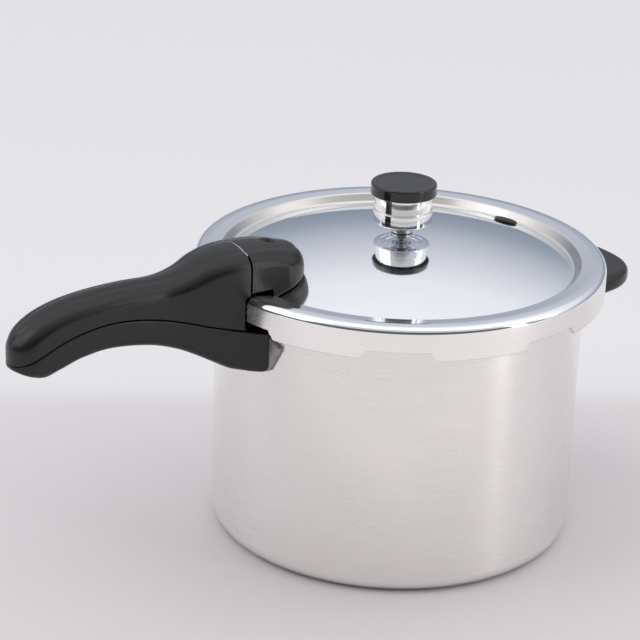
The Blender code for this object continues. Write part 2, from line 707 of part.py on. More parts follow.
def cover_screw_hole_top(u):
    return line_height(TOP_LINE, u) - 6.5 * MM


def make_cover_handle_screws():
    for k, u in enumerate(COVER_SCREWS):
        screw(f"cover_handle_screw_{k + 1}", -u, line_height(PART_LINE, u) + 6 * MM,
              cover_screw_hole_top(u) - 2 * GAP)


def make_body_handle():
    """Lower moulding: under the grip all along, its head curved to the bracket on the pot."""
    rings = []
    for u in stations(LOW_LINE[0][0] * MM, GRIP_END - 0.4 * MM, 20, False, True):
        low = line_height(LOW_LINE, u)
        high = line_height(PART_LINE, u)
        half = handle_half_width(u) + HEAD_FLARE * (1 - blend(109 * MM, 125 * MM, u))
        rings.append(section(u, half, low, high, 5.0 * MM, 0.8 * MM, 0.0))
    handle = loft("body_handle", rings, BLACK_PHENOLIC)
    bore_top = line_height(LOW_LINE, BODY_SCREW) + 5 * MM
    cut(handle,
        cylinder("body_handle_wall", BRACKET_OUT + GAP, 110 * MM, 160 * MM, steps=BIG_STEPS),
        tongue_slot("tongue_slot", -1, BODY_SCREW, BODY_TONGUE_LOW),
        cylinder("body_screw_hole", SCREW_HOLE_R, bore_top - 12 * MM, BODY_TONGUE_LOW + 11 * MM,
                 at=(-BODY_SCREW, 0.0), steps=12),
        cylinder("body_screw_bore", SCREW_BORE_R, bore_top - 12 * MM, bore_top, at=(-BODY_SCREW, 0.0),
                 steps=12))
    smooth(handle)


def tongue_slot(name, side, screw_at, low):
    """Cutter for the slot that a bracket's tongue enters, with clearance all round."""
    ends = sorted((side * 105 * MM, side * (screw_at + 10 * MM)))
    half = TONGUE_HALF + 1.3 * GAP
    return box(name, (ends[0], -half, low - 1.3 * GAP),
               (ends[1], half, low + TONGUE_THICK + 1.3 * GAP), None)


def bracket(name, side, half_angle, low, high, screw_at, tongue_low):
    """Curved plate against the pot wall, its ends cut to a point, with a tongue for the handle."""
    rings = []
    middle = 0.0 if side > 0 else math.pi
    for share in (-1, -0.92, -0.84, -0.76, -0.5, 0, 0.5, 0.76, 0.84, 0.92, 1):
        angle = middle + half_angle * share
        x, y = math.cos(angle), math.sin(angle)
        cut_back = (high - low) * max((abs(share) - 0.76) / 0.24, 0.0)
        bottom, top = low + 0.68 * cut_back, high - 0.22 * cut_back
        rings.append([Vector((r * x, r * y, z)) for r, z in (
            (BRACKET_IN, bottom), (BRACKET_OUT, bottom), (BRACKET_OUT, top), (BRACKET_IN, top))])
    plate = loft(name, rings, STEEL)
    ends = sorted((side * (BRACKET_OUT - 0.8 * MM), side * (screw_at + 9.6 * MM)))
    tongue = box(name + "_tongue", (ends[0], -TONGUE_HALF, tongue_low),
                 (ends[1], TONGUE_HALF, tongue_low + TONGUE_THICK), None)
    join(plate, tongue)
    cut(plate, cylinder(name + "_hole", SCREW_HOLE_R, tongue_low - 5 * MM, tongue_low + 11 * MM,
                        at=(side * screw_at, 0.0), steps=12))


def make_body_handle_fittings():
    bracket("body_handle_bracket", -1, math.radians(17.2), 127.5 * MM, 148.5 * MM, BODY_SCREW,
            BODY_TONGUE_LOW)
    screw("body_handle_screw", -BODY_SCREW, line_height(LOW_LINE, BODY_SCREW) + 5 * MM,
          BODY_TONGUE_LOW + 11 * MM - 2 * GAP)


# ---------------------------------------------------------------- helper handle

def helper_outline():
    """D-shaped wing in plan: straight against the pot, a wide rounded end away from it."""
    length = HELPER_END - HELPER_START
    points = []
    count = 24
    for k in range(count + 1):
        a = -math.pi / 2 + math.pi * k / count
        x = HELPER_START + length * max(math.cos(a), 0.0) ** 0.6
        y = HELPER_HALF * math.copysign(abs(math.sin(a)) ** 0.8, math.sin(a))
        points.append((x, y))
    return points


def make_helper_handle():
    """Short wing opposite the long handles, with a boss below it over its bracket."""
    handle = flat_plate("helper_handle", [helper_outline()], HELPER_LOW, HELPER_HIGH, BLACK_PHENOLIC)
    boss = box("helper_boss", (HELPER_START, -14 * MM, HELPER_BOSS_LOW),
               (HELPER_SCREW + 9 * MM, 14 * MM, HELPER_LOW + 4 * MM), None)
    join(handle, boss)
    round_edges(handle, 2.4 * MM, 2, 50)
    bore_top = HELPER_BOSS_LOW + 4.6 * MM
    hole_low = HELPER_BOSS_LOW - 5 * MM
    cut(handle,
        cylinder("helper_wall", BRACKET_OUT + GAP, 110 * MM, 160 * MM, steps=60),
        tongue_slot("helper_slot", 1, HELPER_SCREW, HELPER_TONGUE_LOW),
        cylinder("helper_screw_hole", SCREW_HOLE_R, hole_low, HELPER_TONGUE_LOW + 10 * MM,
                 at=(HELPER_SCREW, 0.0), steps=12),
        cylinder("helper_screw_bore", SCREW_BORE_R, hole_low, bore_top, at=(HELPER_SCREW, 0.0),
                 steps=12))
    smooth(handle)


def make_helper_fittings():
    bracket("helper_handle_bracket", 1, math.radians(10.0), 124.0 * MM, 145.0 * MM, HELPER_SCREW,
            HELPER_TONGUE_LOW)
    screw("helper_handle_screw", HELPER_SCREW, HELPER_BOSS_LOW + 4.6 * MM,
          HELPER_TONGUE_LOW + 10 * MM - 2 * GAP)


# ---------------------------------------------------------------- assembly

def build():
    make_pot_body()
    make_cooking_rack()
    make_cover()
    make_sealing_ring()
    make_overpressure_plug()
    make_cover_lock()
    make_vent_pipe()
    make_regulator()
    make_cover_handle()
    make_trim_strip()
    make_cover_handle_bracket()
    make_cover_handle_screws()
    make_body_handle()
    make_body_handle_fittings()
    make_helper_handle()
    make_helper_fittings()


clear_scene()
PARTS = collection("pressure_cooker")
CUTTERS = collection("cutters")
ALUMINIUM = material("aluminium", (0.86, 0.84, 0.82), 0.28, 1.0)
POLISHED = material("polished_aluminium", (0.83, 0.85, 0.88), 0.14, 1.0)
CHROME = material("chrome", (0.90, 0.90, 0.91), 0.06, 1.0)
STEEL = material("steel", (0.62, 0.62, 0.63), 0.30, 1.0)
BLACK_PHENOLIC = material("black_phenolic", (0.018, 0.018, 0.020), 0.36, 0.0)
BLACK_GLOSS = material("black_gloss", (0.012, 0.012, 0.014), 0.16, 0.0)
BLACK_RUBBER = material("black_rubber", (0.022, 0.022, 0.023), 0.62, 0.0)
build()
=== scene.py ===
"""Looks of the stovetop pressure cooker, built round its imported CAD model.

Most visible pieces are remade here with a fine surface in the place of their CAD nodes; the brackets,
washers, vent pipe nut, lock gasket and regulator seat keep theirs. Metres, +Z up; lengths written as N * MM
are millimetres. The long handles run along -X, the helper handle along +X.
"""
import math

import bmesh
import bpy
from mathutils import Matrix, Vector


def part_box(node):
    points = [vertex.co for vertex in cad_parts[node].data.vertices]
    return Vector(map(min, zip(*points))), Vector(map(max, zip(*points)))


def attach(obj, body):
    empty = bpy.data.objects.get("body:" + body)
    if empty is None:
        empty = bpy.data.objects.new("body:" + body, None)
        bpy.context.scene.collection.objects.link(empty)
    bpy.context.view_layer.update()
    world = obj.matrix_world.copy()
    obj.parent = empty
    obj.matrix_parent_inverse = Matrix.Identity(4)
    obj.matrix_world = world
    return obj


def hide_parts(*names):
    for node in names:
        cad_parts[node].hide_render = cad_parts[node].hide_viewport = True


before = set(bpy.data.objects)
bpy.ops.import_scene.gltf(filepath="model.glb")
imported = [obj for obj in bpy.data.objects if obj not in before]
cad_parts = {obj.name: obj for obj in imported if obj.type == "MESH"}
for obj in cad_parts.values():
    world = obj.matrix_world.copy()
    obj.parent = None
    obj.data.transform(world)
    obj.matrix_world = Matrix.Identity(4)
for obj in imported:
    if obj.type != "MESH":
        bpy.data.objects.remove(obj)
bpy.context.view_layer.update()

MM = 0.001
TAU = 2 * math.pi


# ---------------------------------------------------------------- sizes, from the frame

def box_of(node):
    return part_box(node)


RIM_Z = box_of("pot_body")[1].z
COVER_R = box_of("cover")[1].y
SKIRT_LOW = box_of("cover")[0].z
DOME_Z = box_of("cover")[1].z
CAP_TOP = box_of("regulator_cap")[1].z
CAP_R = box_of("regulator_cap")[1].x
WEIGHT_LOW = box_of("regulator_weight")[0].z
WEIGHT_R = box_of("regulator_weight")[1].x
LOCK_X = sum(corner.x for corner in box_of("cover_lock_pin")) / 2
HELPER_END = box_of("helper_handle")[1].x
HELPER_HALF = box_of("helper_handle")[1].y
HELPER_LOW = 131.6 * MM
HELPER_HIGH = box_of("helper_handle")[1].z
GRIP_END = -box_of("cover_handle_grip")[0].x
RACK_R = box_of("cooking_rack")[1].x
RACK_HIGH = box_of("cooking_rack")[1].z
RACK_LOW = box_of("cooking_rack")[0].z

POT_R = 111.0 * MM
POT_WALL = 2.8 * MM
POT_FLOOR = 4.5 * MM
LUG_COUNT = 8
LUG_PHASE = math.radians(31.0)
POT_LUG_R = 119.4 * MM
POT_LUG_HALF = math.radians(8.5)
POT_LUG_LOW, POT_LUG_HIGH = 157.4 * MM, 160.9 * MM

COVER_THICK = 2.8 * MM
COVER_TOP = 173.0 * MM
BAND_R = 108.0 * MM
RECESS_R = 105.0 * MM
RECESS_Z = COVER_TOP - 6.0 * MM
NOTCH_Z = 158.0 * MM
NOTCH_HALF = math.radians(10.0)
LIP_R = 113.5 * MM
LIP_THICK = 3.6 * MM
LIP_HALF = math.radians(11.6)
PLUG_POLAR_R, PLUG_ANGLE = 94.0 * MM, math.radians(9.5)
LOCK_STEM_R, LOCK_FLANGE_R = 2.8 * MM, 3.8 * MM

HEAD_HALF = 19.5 * MM
GRIP_HALF = 13.4 * MM
NOSE_TIP = 74.0 * MM
NOSE_END = 118.0 * MM
GRIP_START = 119.3 * MM
HANDLE_GAP = 0.6 * MM
NOSE_ROUND = 10.0 * MM              # how far back the nose and the tail are rounded in height
TAIL_ROUND = 6.0 * MM
TOP_LINE = [(60, 187), (72, 191.4), (86, 195), (104, 198.4), (126, 198.8), (141, 196.2), (154, 191.2),
            (169, 188.6), (190, 189), (210, 188.3), (228, 186), (242, 182), (252, 176.4), (263, 167.8)]
PART_LINE = [(104, 150.8), (120, 151.8), (133, 155), (146, 158.6), (159, 162.8), (179, 168.2),
             (197, 170.9), (213, 170.6), (231, 167), (244, 162), (263, 153.4)]
LOW_LINE = [(106, 126), (119, 126.6), (130, 129.8), (140, 135.2), (150, 140.8), (162, 146.6),
            (180, 152.4), (205, 155.6), (223, 153.6), (236, 149.6), (247, 147), (263, 153)]
TOP_ROUND = 9.0 * MM                # upper edges of the grip and the nose
TOP_CROWN = 1.8 * MM
HEAD_FLARE = 7.0 * MM               # the body handle's head widens by this much towards the pot
COVER_SCREWS = (131 * MM, 144 * MM)
BODY_SCREW = 129 * MM
BODY_TONGUE_LOW = 138.6 * MM
BRACKET_OUT = POT_R + 2.65 * MM
HELPER_START = 112.0 * MM
HELPER_SCREW = 131 * MM
HELPER_BOSS_LOW = 122.8 * MM
HELPER_TONGUE_LOW = 129.4 * MM
TONGUE_HALF, TONGUE_THICK = 7.0 * MM, 6.0 * MM

WALL_COLOR, WALL_ROUGHER = (0.62, 0.60, 0.585), 0.16    # wall of the recess round the dome

BIG_STEPS = 256
LUG_STEPS = 1080
SMALL_STEPS = 96


# ---------------------------------------------------------------- shader helpers

class Shader:
    """A new material with short ways to add and join nodes."""

    def __init__(self, name, color, roughness, metallic, **sockets):
        self.mat = bpy.data.materials.new(name)
        self.mat.use_nodes = True
        self.mat.diffuse_color = (*color, 1.0)
        self.tree = self.mat.node_tree
        self.principled = self.tree.nodes["Principled BSDF"]
        self.color = color
        self.set("Base Color", (*color, 1.0))
        self.set("Roughness", roughness)
        self.set("Metallic", metallic)
        for socket, value in sockets.items():
            self.set(socket.replace("_", " "), value)

    def set(self, socket, value):
        self.principled.inputs[socket].default_value = value

    def node(self, kind, **inputs):
        made = self.tree.nodes.new(kind)
        for key, value in inputs.items():
            self.feed(made, key, value)
        return made

    def feed(self, node, key, value):
        socket = node.inputs[int(key[1:]) if key[0] == "i" and key[1:].isdigit() else key.replace("_", " ")]
        if isinstance(value, bpy.types.NodeSocket):
            self.tree.links.new(value, socket)
        else:
            socket.default_value = value

    def math(self, operation, a, b=0.0, c=0.0):
        made = self.tree.nodes.new("ShaderNodeMath")
        made.operation = operation
        for key, value in (("i0", a), ("i1", b), ("i2", c)):
            self.feed(made, key, value)
        return made.outputs[0]

    def remap(self, value, from_low, from_high, to_low, to_high):
        made = self.node("ShaderNodeMapRange", Value=value, From_Min=from_low, From_Max=from_high,
                         To_Min=to_low, To_Max=to_high)
        made.interpolation_type = "SMOOTHSTEP"
        return made.outputs[0]

    def noise(self, vector, scale, detail=3.0, roughness=0.55):
        made = self.node("ShaderNodeTexNoise", Vector=vector, Scale=scale, Detail=detail,
                         Roughness=roughness)
        return made.outputs["Fac"]

    def place(self):
        """The point on the object, in metres in the object's own frame."""
        return self.node("ShaderNodeTexCoord").outputs["Object"]

    def split(self, vector):
        made = self.node("ShaderNodeSeparateXYZ", Vector=vector)
        return made.outputs[0], made.outputs[1], made.outputs[2]

    def join(self, x, y, z):
        return self.node("ShaderNodeCombineXYZ", X=x, Y=y, Z=z).outputs[0]

    def round_about(self, centre=(0.0, 0.0)):
        """(distance from a vertical axis, angle about it, height)"""
        x, y, z = self.split(self.place())
        x = self.math("SUBTRACT", x, centre[0])
        y = self.math("SUBTRACT", y, centre[1])
        squares = self.math("ADD", self.math("MULTIPLY", x, x), self.math("MULTIPLY", y, y))
        radius = self.math("SQRT", squares)
        return radius, self.math("ARCTAN2", y, x), z

    def turned_lines(self, per_metre, along=0.6, centre=(0.0, 0.0)):
        """Noise drawn out round the axis, as a lathe or a buffing wheel leaves it."""
        radius, angle, z = self.round_about(centre)
        across = self.math("MULTIPLY", self.math("ADD", radius, z), per_metre)
        return self.noise(self.join(self.math("MULTIPLY", angle, along), across, 0.0), 1.0, 4.0)

    def mix(self, factor, a, b):
        made = self.tree.nodes.new("ShaderNodeMix")
        made.data_type = "RGBA"
        for socket, value in ((made.inputs[0], factor), (made.inputs[6], a), (made.inputs[7], b)):
            if isinstance(value, bpy.types.NodeSocket):
                self.tree.links.new(value, socket)
            else:
                socket.default_value = value if isinstance(value, float) else (*value[:3], 1.0)
        return made.outputs[2]

    def use(self, socket, value):
        self.tree.links.new(value, self.principled.inputs[socket])

    def bump(self, *layers):
        """Layers of (height, depth in metres), each laid over the one before."""
        normal = None
        for height, depth in layers:
            made = self.node("ShaderNodeBump", Strength=1.0, Distance=depth, Height=height)
            if normal is not None:
                self.tree.links.new(normal, made.inputs["Normal"])
            normal = made.outputs["Normal"]
        self.use("Normal", normal)


def scaled(color, factor):
    return tuple(c * factor for c in color)


def vary(shader, amount, value):
    """Let the base colour drift by amount either way with value."""
    low, high = scaled(shader.color, 1 - amount), scaled(shader.color, 1 + 0.4 * amount)
    shader.use("Base Color", shader.mix(value, low, high))


# ---------------------------------------------------------------- materials

def brushed_aluminium():
    """Bright drawn pot wall: fine lines round it, drawn-out reflections, slight clouding."""
    s = Shader("aluminium_brushed", (0.90, 0.875, 0.86), 0.24, 1.0,
               Anisotropic=0.8, Anisotropic_Rotation=0.25)
    tangent = s.tree.nodes.new("ShaderNodeTangent")
    tangent.direction_type = "RADIAL"
    tangent.axis = "Z"
    s.use("Tangent", tangent.outputs[0])
    fine = s.turned_lines(5200.0, 1.4)
    broad = s.turned_lines(420.0, 0.8)
    cloud = s.noise(s.place(), 26.0, 2.0)
    vary(s, 0.05, s.math("ADD", s.math("MULTIPLY", broad, 0.5), s.math("MULTIPLY", cloud, 0.5)))
    s.use("Roughness", s.math("ADD", s.remap(fine, 0.3, 0.7, 0.19, 0.27),
                              s.remap(cloud, 0.35, 0.7, 0.0, 0.04)))
    s.bump((fine, 0.0012 * MM), (broad, 0.004 * MM), (cloud, 0.05 * MM))
    return s.mat


def polished_aluminium():
    """Cover: mirror-buffed top with hair-fine circular marks, and a satin skirt."""
    s = Shader("aluminium_polished", (0.86, 0.885, 0.92), 0.06, 1.0)
    fine = s.turned_lines(4200.0, 0.5)
    broad = s.turned_lines(300.0, 0.5)
    smear = s.noise(s.place(), 16.0, 3.0)
    radius, _, z = s.round_about()
    outside = s.remap(radius, BAND_R + 2.0 * MM, BAND_R + 4.0 * MM, 0.0, 1.0)
    satin = s.math("MULTIPLY", outside, s.remap(z, COVER_TOP - 2.6 * MM, COVER_TOP - 5.2 * MM, 0.0, 1.0))
    wall = s.math("MULTIPLY", s.remap(radius, RECESS_R - 0.8 * MM, RECESS_R - 0.2 * MM, 0.0, 1.0),
                  s.remap(radius, BAND_R + 0.6 * MM, BAND_R, 0.0, 1.0))
    gloss = s.math("ADD", s.remap(smear, 0.35, 0.75, 0.045, 0.085), s.remap(fine, 0.35, 0.8, 0.0, 0.02))
    brushed = s.remap(fine, 0.3, 0.7, 0.20, 0.30)
    rough = s.math("ADD", s.math("MULTIPLY", gloss, s.math("SUBTRACT", 1.0, satin)),
                   s.math("MULTIPLY", brushed, satin))
    s.use("Roughness", s.math("ADD", rough, s.math("MULTIPLY", wall, WALL_ROUGHER)))
    top = s.mix(broad, scaled(s.color, 0.975), scaled(s.color, 1.01))
    skirt = s.mix(broad, (0.86, 0.84, 0.83), (0.93, 0.91, 0.90))
    s.use("Base Color", s.mix(wall, s.mix(satin, top, skirt), WALL_COLOR))
    s.bump((fine, 0.0003 * MM), (broad, 0.0006 * MM),
           (s.math("MULTIPLY", fine, satin), 0.0016 * MM))
    return s.mat


def chrome():
    s = Shader("chrome_plate", (0.90, 0.90, 0.915), 0.05, 1.0)
    film = s.noise(s.place(), 140.0, 3.0)
    lines = s.turned_lines(2600.0, 0.6)
    s.use("Roughness", s.math("ADD", s.remap(film, 0.35, 0.75, 0.03, 0.08),
                              s.remap(lines, 0.4, 0.8, 0.0, 0.02)))
    vary(s, 0.03, film)
    s.bump((lines, 0.0004 * MM))
    return s.mat


def plain_steel(name, color):
    """Zinc-grey pressed and turned hardware."""
    s = Shader(name, color, 0.32, 1.0)
    grain = s.noise(s.place(), 900.0, 2.0)
    spangle = s.noise(s.place(), 160.0, 4.0)
    s.use("Roughness", s.remap(spangle, 0.3, 0.7, 0.24, 0.42))
    vary(s, 0.14, spangle)
    s.bump((grain, 0.006 * MM), (spangle, 0.01 * MM))
    return s.mat


def black_phenolic():
    """Compression-moulded phenolic: deep black, satin skin with a very fine grain."""
    s = Shader("phenolic_black", (0.0052, 0.0050, 0.0057), 0.30, 0.0, IOR=1.46)
    grain = s.noise(s.place(), 2600.0, 2.0)
    flow = s.noise(s.place(), 45.0, 4.0)
    specks = s.noise(s.place(), 700.0, 1.0)
    s.use("Roughness", s.math("ADD", s.remap(flow, 0.3, 0.7, 0.25, 0.33),
                              s.remap(specks, 0.62, 0.75, 0.0, 0.08)))
    s.use("Base Color", s.mix(flow, scaled(s.color, 0.8), scaled(s.color, 1.5)))
    s.bump((grain, 0.0035 * MM), (flow, 0.02 * MM))
    return s.mat


def black_gloss():
    """Regulator cap: glossy rolled rim round a matt, faintly turned top, whose lighter colour is painted
    light.
    """
    s = Shader("gloss_black", (0.010, 0.010, 0.0115), 0.12, 0.0, IOR=1.55)
    radius, _, z = s.round_about()
    matt_and_painted_light = s.math("MULTIPLY", s.remap(radius, CAP_R - 2.6 * MM, CAP_R - 3.6 * MM, 0.0, 1.0),
                  s.remap(z, CAP_TOP - 1.6 * MM, CAP_TOP - 0.9 * MM, 0.0, 1.0))
    grain = s.noise(s.place(), 2200.0, 2.0)
    smear = s.noise(s.place(), 90.0, 3.0)
    gloss = s.remap(smear, 0.3, 0.7, 0.09, 0.16)
    s.use("Roughness", s.math("ADD", gloss, s.math("MULTIPLY", matt_and_painted_light, 0.26)))
    # the matt top's roughness is its real finish; its lighter colour is painted light
    s.use("Base Color", s.mix(matt_and_painted_light, s.color, (0.020, 0.0195, 0.022)))
    s.bump((s.math("MULTIPLY", grain, matt_and_painted_light), 0.008 * MM), (smear, 0.01 * MM))
    return s.mat


def black_rubber():
    s = Shader("rubber_black", (0.020, 0.020, 0.022), 0.55, 0.0, IOR=1.5)
    grain = s.noise(s.place(), 1500.0, 3.0)
    bloom = s.noise(s.place(), 120.0, 3.0)
    s.use("Roughness", s.remap(bloom, 0.3, 0.7, 0.46, 0.66))
    vary(s, 0.3, bloom)
    s.bump((grain, 0.012 * MM), (bloom, 0.03 * MM))
    return s.mat


# ---------------------------------------------------------------- mesh helpers

def new_object(name, bm, mat):
    bmesh.ops.recalc_face_normals(bm, faces=bm.faces)
    mesh = bpy.data.meshes.new(name)
    bm.to_mesh(mesh)
    bm.free()
    obj = bpy.data.objects.new(name, mesh)
    bpy.context.scene.collection.objects.link(obj)
    if mat:
        mesh.materials.append(mat)
    return obj


def finish_surface(obj, angle=35.0):
    obj.data.shade_smooth()
    obj.data.set_sharp_from_angle(angle=math.radians(angle))
    weighted = obj.modifiers.new("even_normals", "WEIGHTED_NORMAL")
    weighted.keep_sharp = True
    weighted.weight = 80
    return obj


def piece(obj, body, slot, *nodes):
    """Put a finished piece on its body, in the place of its CAD nodes."""
    finish_surface(obj)
    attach(obj, body)
    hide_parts(*nodes)
    return obj


def rounded(corners, closed=False, steps=5):
    """A profile of (radius, height, fillet) corners as points, each fillet as an arc."""
    points = []
    count = len(corners)
    for i, (r, z, fillet) in enumerate(corners):
        at_end = not closed and i in (0, count - 1)
        here = Vector((r, z))
        if fillet <= 0 or at_end:
            points.append(here)
            continue
        back = Vector(corners[i - 1][:2]) - here
        ahead = Vector(corners[(i + 1) % count][:2]) - here
        angle = back.angle(ahead)
        reach = min(fillet / math.tan(angle / 2), 0.49 * back.length, 0.49 * ahead.length)
        fillet = reach * math.tan(angle / 2)
        start, end = here + back.normalized() * reach, here + ahead.normalized() * reach
        inward = (back.normalized() + ahead.normalized()).normalized()
        centre = here + inward * (fillet / math.sin(angle / 2))
        a, b = start - centre, end - centre
        sweep = a.angle(b)
        for k in range(steps + 1):
            t = k / steps
            arm = a * math.sin((1 - t) * sweep) + b * math.sin(t * sweep)
            points.append(centre + arm / math.sin(sweep))
    return [(p.x, p.y) for p in points]


def revolve(name, profile, mat, steps=BIG_STEPS, closed=False, at=(0.0, 0.0), warp=None, stand=None):
    """Turn a profile about Z. warp(radius, height, angle) may shift each point as it turns, and the
    finished surface is moved by the matrix stand."""
    bm = bmesh.new()
    rows = []
    for r, z in profile:
        if r < 1e-7:
            rows.append([bm.verts.new((at[0], at[1], z))])
            continue
        row = []
        for k in range(steps):
            angle = TAU * k / steps
            rr, zz = warp(r, z, angle) if warp else (r, z)
            row.append(bm.verts.new((at[0] + rr * math.cos(angle), at[1] + rr * math.sin(angle), zz)))
        rows.append(row)
    pairs = list(zip(rows, rows[1:]))
    if closed:
        pairs.append((rows[-1], rows[0]))
    for a, b in pairs:
        for k in range(steps):
            ring = [a[k % len(a)], a[(k + 1) % len(a)], b[(k + 1) % len(b)], b[k % len(b)]]
            corners = [v for i, v in enumerate(ring) if v not in ring[:i]]
            if len(corners) > 2:
                bm.faces.new(corners)
    if stand is not None:
        bmesh.ops.transform(bm, matrix=stand, verts=bm.verts)
    return new_object(name, bm, mat)


def prism(name, outline, low, high, mat=None, bevel=0.0, segments=3):
    """An outline in plan given thickness, its edges rounded by bevel."""
    bm = bmesh.new()
    base = [bm.verts.new((x, y, low)) for x, y in outline]
    face = bm.faces.new(base)
    top = bmesh.ops.extrude_face_region(bm, geom=[face])
    moved = [g for g in top["geom"] if isinstance(g, bmesh.types.BMVert)]
    bmesh.ops.translate(bm, vec=(0.0, 0.0, high - low), verts=moved)
    obj = new_object(name, bm, mat)
    if bevel:
        apply_bevel(obj, bevel, segments)
    return obj


def apply_bevel(obj, width, segments=3, angle=30.0):
    mod = obj.modifiers.new("round", "BEVEL")
    mod.width = width
    mod.segments = segments
    mod.limit_method = "ANGLE"
    mod.angle_limit = math.radians(angle)
    bake(obj)


def bake(obj):
    """Apply the modifiers that are on the piece so far."""
    bpy.context.view_layer.update()
    graph = bpy.context.evaluated_depsgraph_get()
    mesh = bpy.data.meshes.new_from_object(obj.evaluated_get(graph))
    obj.modifiers.clear()
    obj.data = mesh


def combine(obj, operation, *others):
    for other in others:
        mod = obj.modifiers.new(operation.lower(), "BOOLEAN")
        mod.operation = operation
        mod.object = other
        mod.solver = "EXACT"
    bake(obj)
    for other in others:
        bpy.data.objects.remove(other, do_unlink=True)
    return obj


def drill(name, radius, low, high, at=(0.0, 0.0), steps=48, top_radius=None, stand=None):
    top_radius = radius if top_radius is None else top_radius
    profile = [(0.0, high), (top_radius, high), (radius, low), (0.0, low)]
    return revolve(name, profile, None, steps, at=at, stand=stand)


def block(name, low, high, bevel=0.0):
    outline = [(low[0], low[1]), (high[0], low[1]), (high[0], high[1]), (low[0], high[1])]
    return prism(name, outline, low[2], high[2], None, bevel)


def ease(low, high, value):
    t = min(max((value - low) / (high - low), 0.0), 1.0)
    return t * t * (3 - 2 * t)


def from_nearest_lug(angle, offset=0.0):
    """Signed angle from the middle of the nearest lug."""
    pitch = TAU / LUG_COUNT
    return (angle - LUG_PHASE - offset + pitch / 2) % pitch - pitch / 2


# ---------------------------------------------------------------- pot

def make_pot(mat):
    inner = POT_R - POT_WALL
    flange_r = POT_R + 0.8 * MM
    profile = rounded([
        (0.0, POT_FLOOR, 0), (inner, POT_FLOOR, 6.2 * MM), (inner, RIM_Z, 0.6 * MM),
        (POT_R, RIM_Z, 0.6 * MM), (POT_R, POT_LUG_HIGH, 0.3 * MM),
        (flange_r, POT_LUG_HIGH, 0.3 * MM), (flange_r, POT_LUG_LOW, 0.3 * MM),
        (POT_R, POT_LUG_LOW, 0.3 * MM), (POT_R, 0.0, 9.0 * MM), (92.0 * MM, 0.0, 0.3 * MM),
        (91.4 * MM, 0.5 * MM, 0.3 * MM), (90.0 * MM, 0.5 * MM, 0.3 * MM), (89.4 * MM, 0.0, 0.3 * MM),
        (0.0, 0.0, 0)], steps=6)

    def lugs(r, z, angle):
        away = abs(from_nearest_lug(angle))
        out = 1 - ease(POT_LUG_HALF - math.radians(1.1), POT_LUG_HALF, away)
        share = max(r - POT_R, 0.0) / (flange_r - POT_R) if z > POT_LUG_LOW - 0.1 * MM else 0.0
        return r + share * out * (POT_LUG_R - flange_r), z

    pot = revolve("pot_shell", profile, mat, LUG_STEPS, warp=lugs)
    return piece(pot, "pot", "aluminium", "pot_body")


def make_rack(mat):
    """Perforated disc with a turned-down rim."""
    thick = 1.6 * MM
    corners = [(0.0, RACK_HIGH, 0), (RACK_R, RACK_HIGH, 1.4 * MM), (RACK_R, RACK_LOW, 0.6 * MM),
               (RACK_R - thick, RACK_LOW, 0.6 * MM), (RACK_R - thick, RACK_HIGH - thick, 0.5 * MM),
               (0.0, RACK_HIGH - thick, 0)]
    rack = revolve("rack_disc", rounded(corners), mat, 144)
    holes = []
    for radius, count, phase in ((32 * MM, 6, 0.0), (66 * MM, 12, 0.5)):
        for k in range(count):
            angle = TAU * (k + phase) / count
            at = (radius * math.cos(angle), radius * math.sin(angle))
            holes.append(drill("rack_hole", 5.4 * MM, RACK_LOW, RACK_HIGH + 2 * MM, at, 32))
    combine(rack, "DIFFERENCE", *holes)
    return piece(rack, "rack", "aluminium", "cooking_rack")


# ---------------------------------------------------------------- cover

def dome_sphere():
    """Radius of the sphere that the dome is part of."""
    rise = DOME_Z - RECESS_Z
    return (RECESS_R ** 2 + rise ** 2) / (2 * rise)


def dome_height(radius):
    sphere = dome_sphere()
    return DOME_Z - sphere + math.sqrt(sphere ** 2 - radius ** 2)


def plug_stand():
    """Where the overpressure plug stands: on the dome's surface, square to it."""
    slope = math.asin(PLUG_POLAR_R / dome_sphere())
    return (Matrix.Rotation(PLUG_ANGLE, 4, "Z")
            @ Matrix.Translation((PLUG_POLAR_R, 0.0, dome_height(PLUG_POLAR_R)))
            @ Matrix.Rotation(slope, 4, "Y"))


def cover_top_corners(lift=0.0):
    """Upper surface from the middle to the edge band: dome, recess wall, slightly crowned band."""
    corners = [(RECESS_R * k / 28, dome_height(RECESS_R * k / 28) + lift, 0) for k in range(28)]
    corners += [(RECESS_R - 0.6 * MM, RECESS_Z + 0.1 * MM + lift, 2.6 * MM),
                (BAND_R, COVER_TOP - 0.45 * MM + lift, 1.6 * MM),
                ((BAND_R + COVER_R) / 2, COVER_TOP + lift, 18 * MM)]
    return corners


def skirt_edge(angle):
    """Height of the skirt's lower edge: low at a lug, a run-out and a small step to the gap."""
    away = from_nearest_lug(angle, math.pi / LUG_COUNT)
    ramp = ease(-NOTCH_HALF, -NOTCH_HALF + math.radians(2.3), away)
    step = 1 - 0.55 * ease(NOTCH_HALF - math.radians(1.5), NOTCH_HALF - math.radians(0.9), away) \
        - 0.45 * ease(NOTCH_HALF - math.radians(0.45), NOTCH_HALF, away)
    return SKIRT_LOW + (NOTCH_Z - SKIRT_LOW) * ramp * step


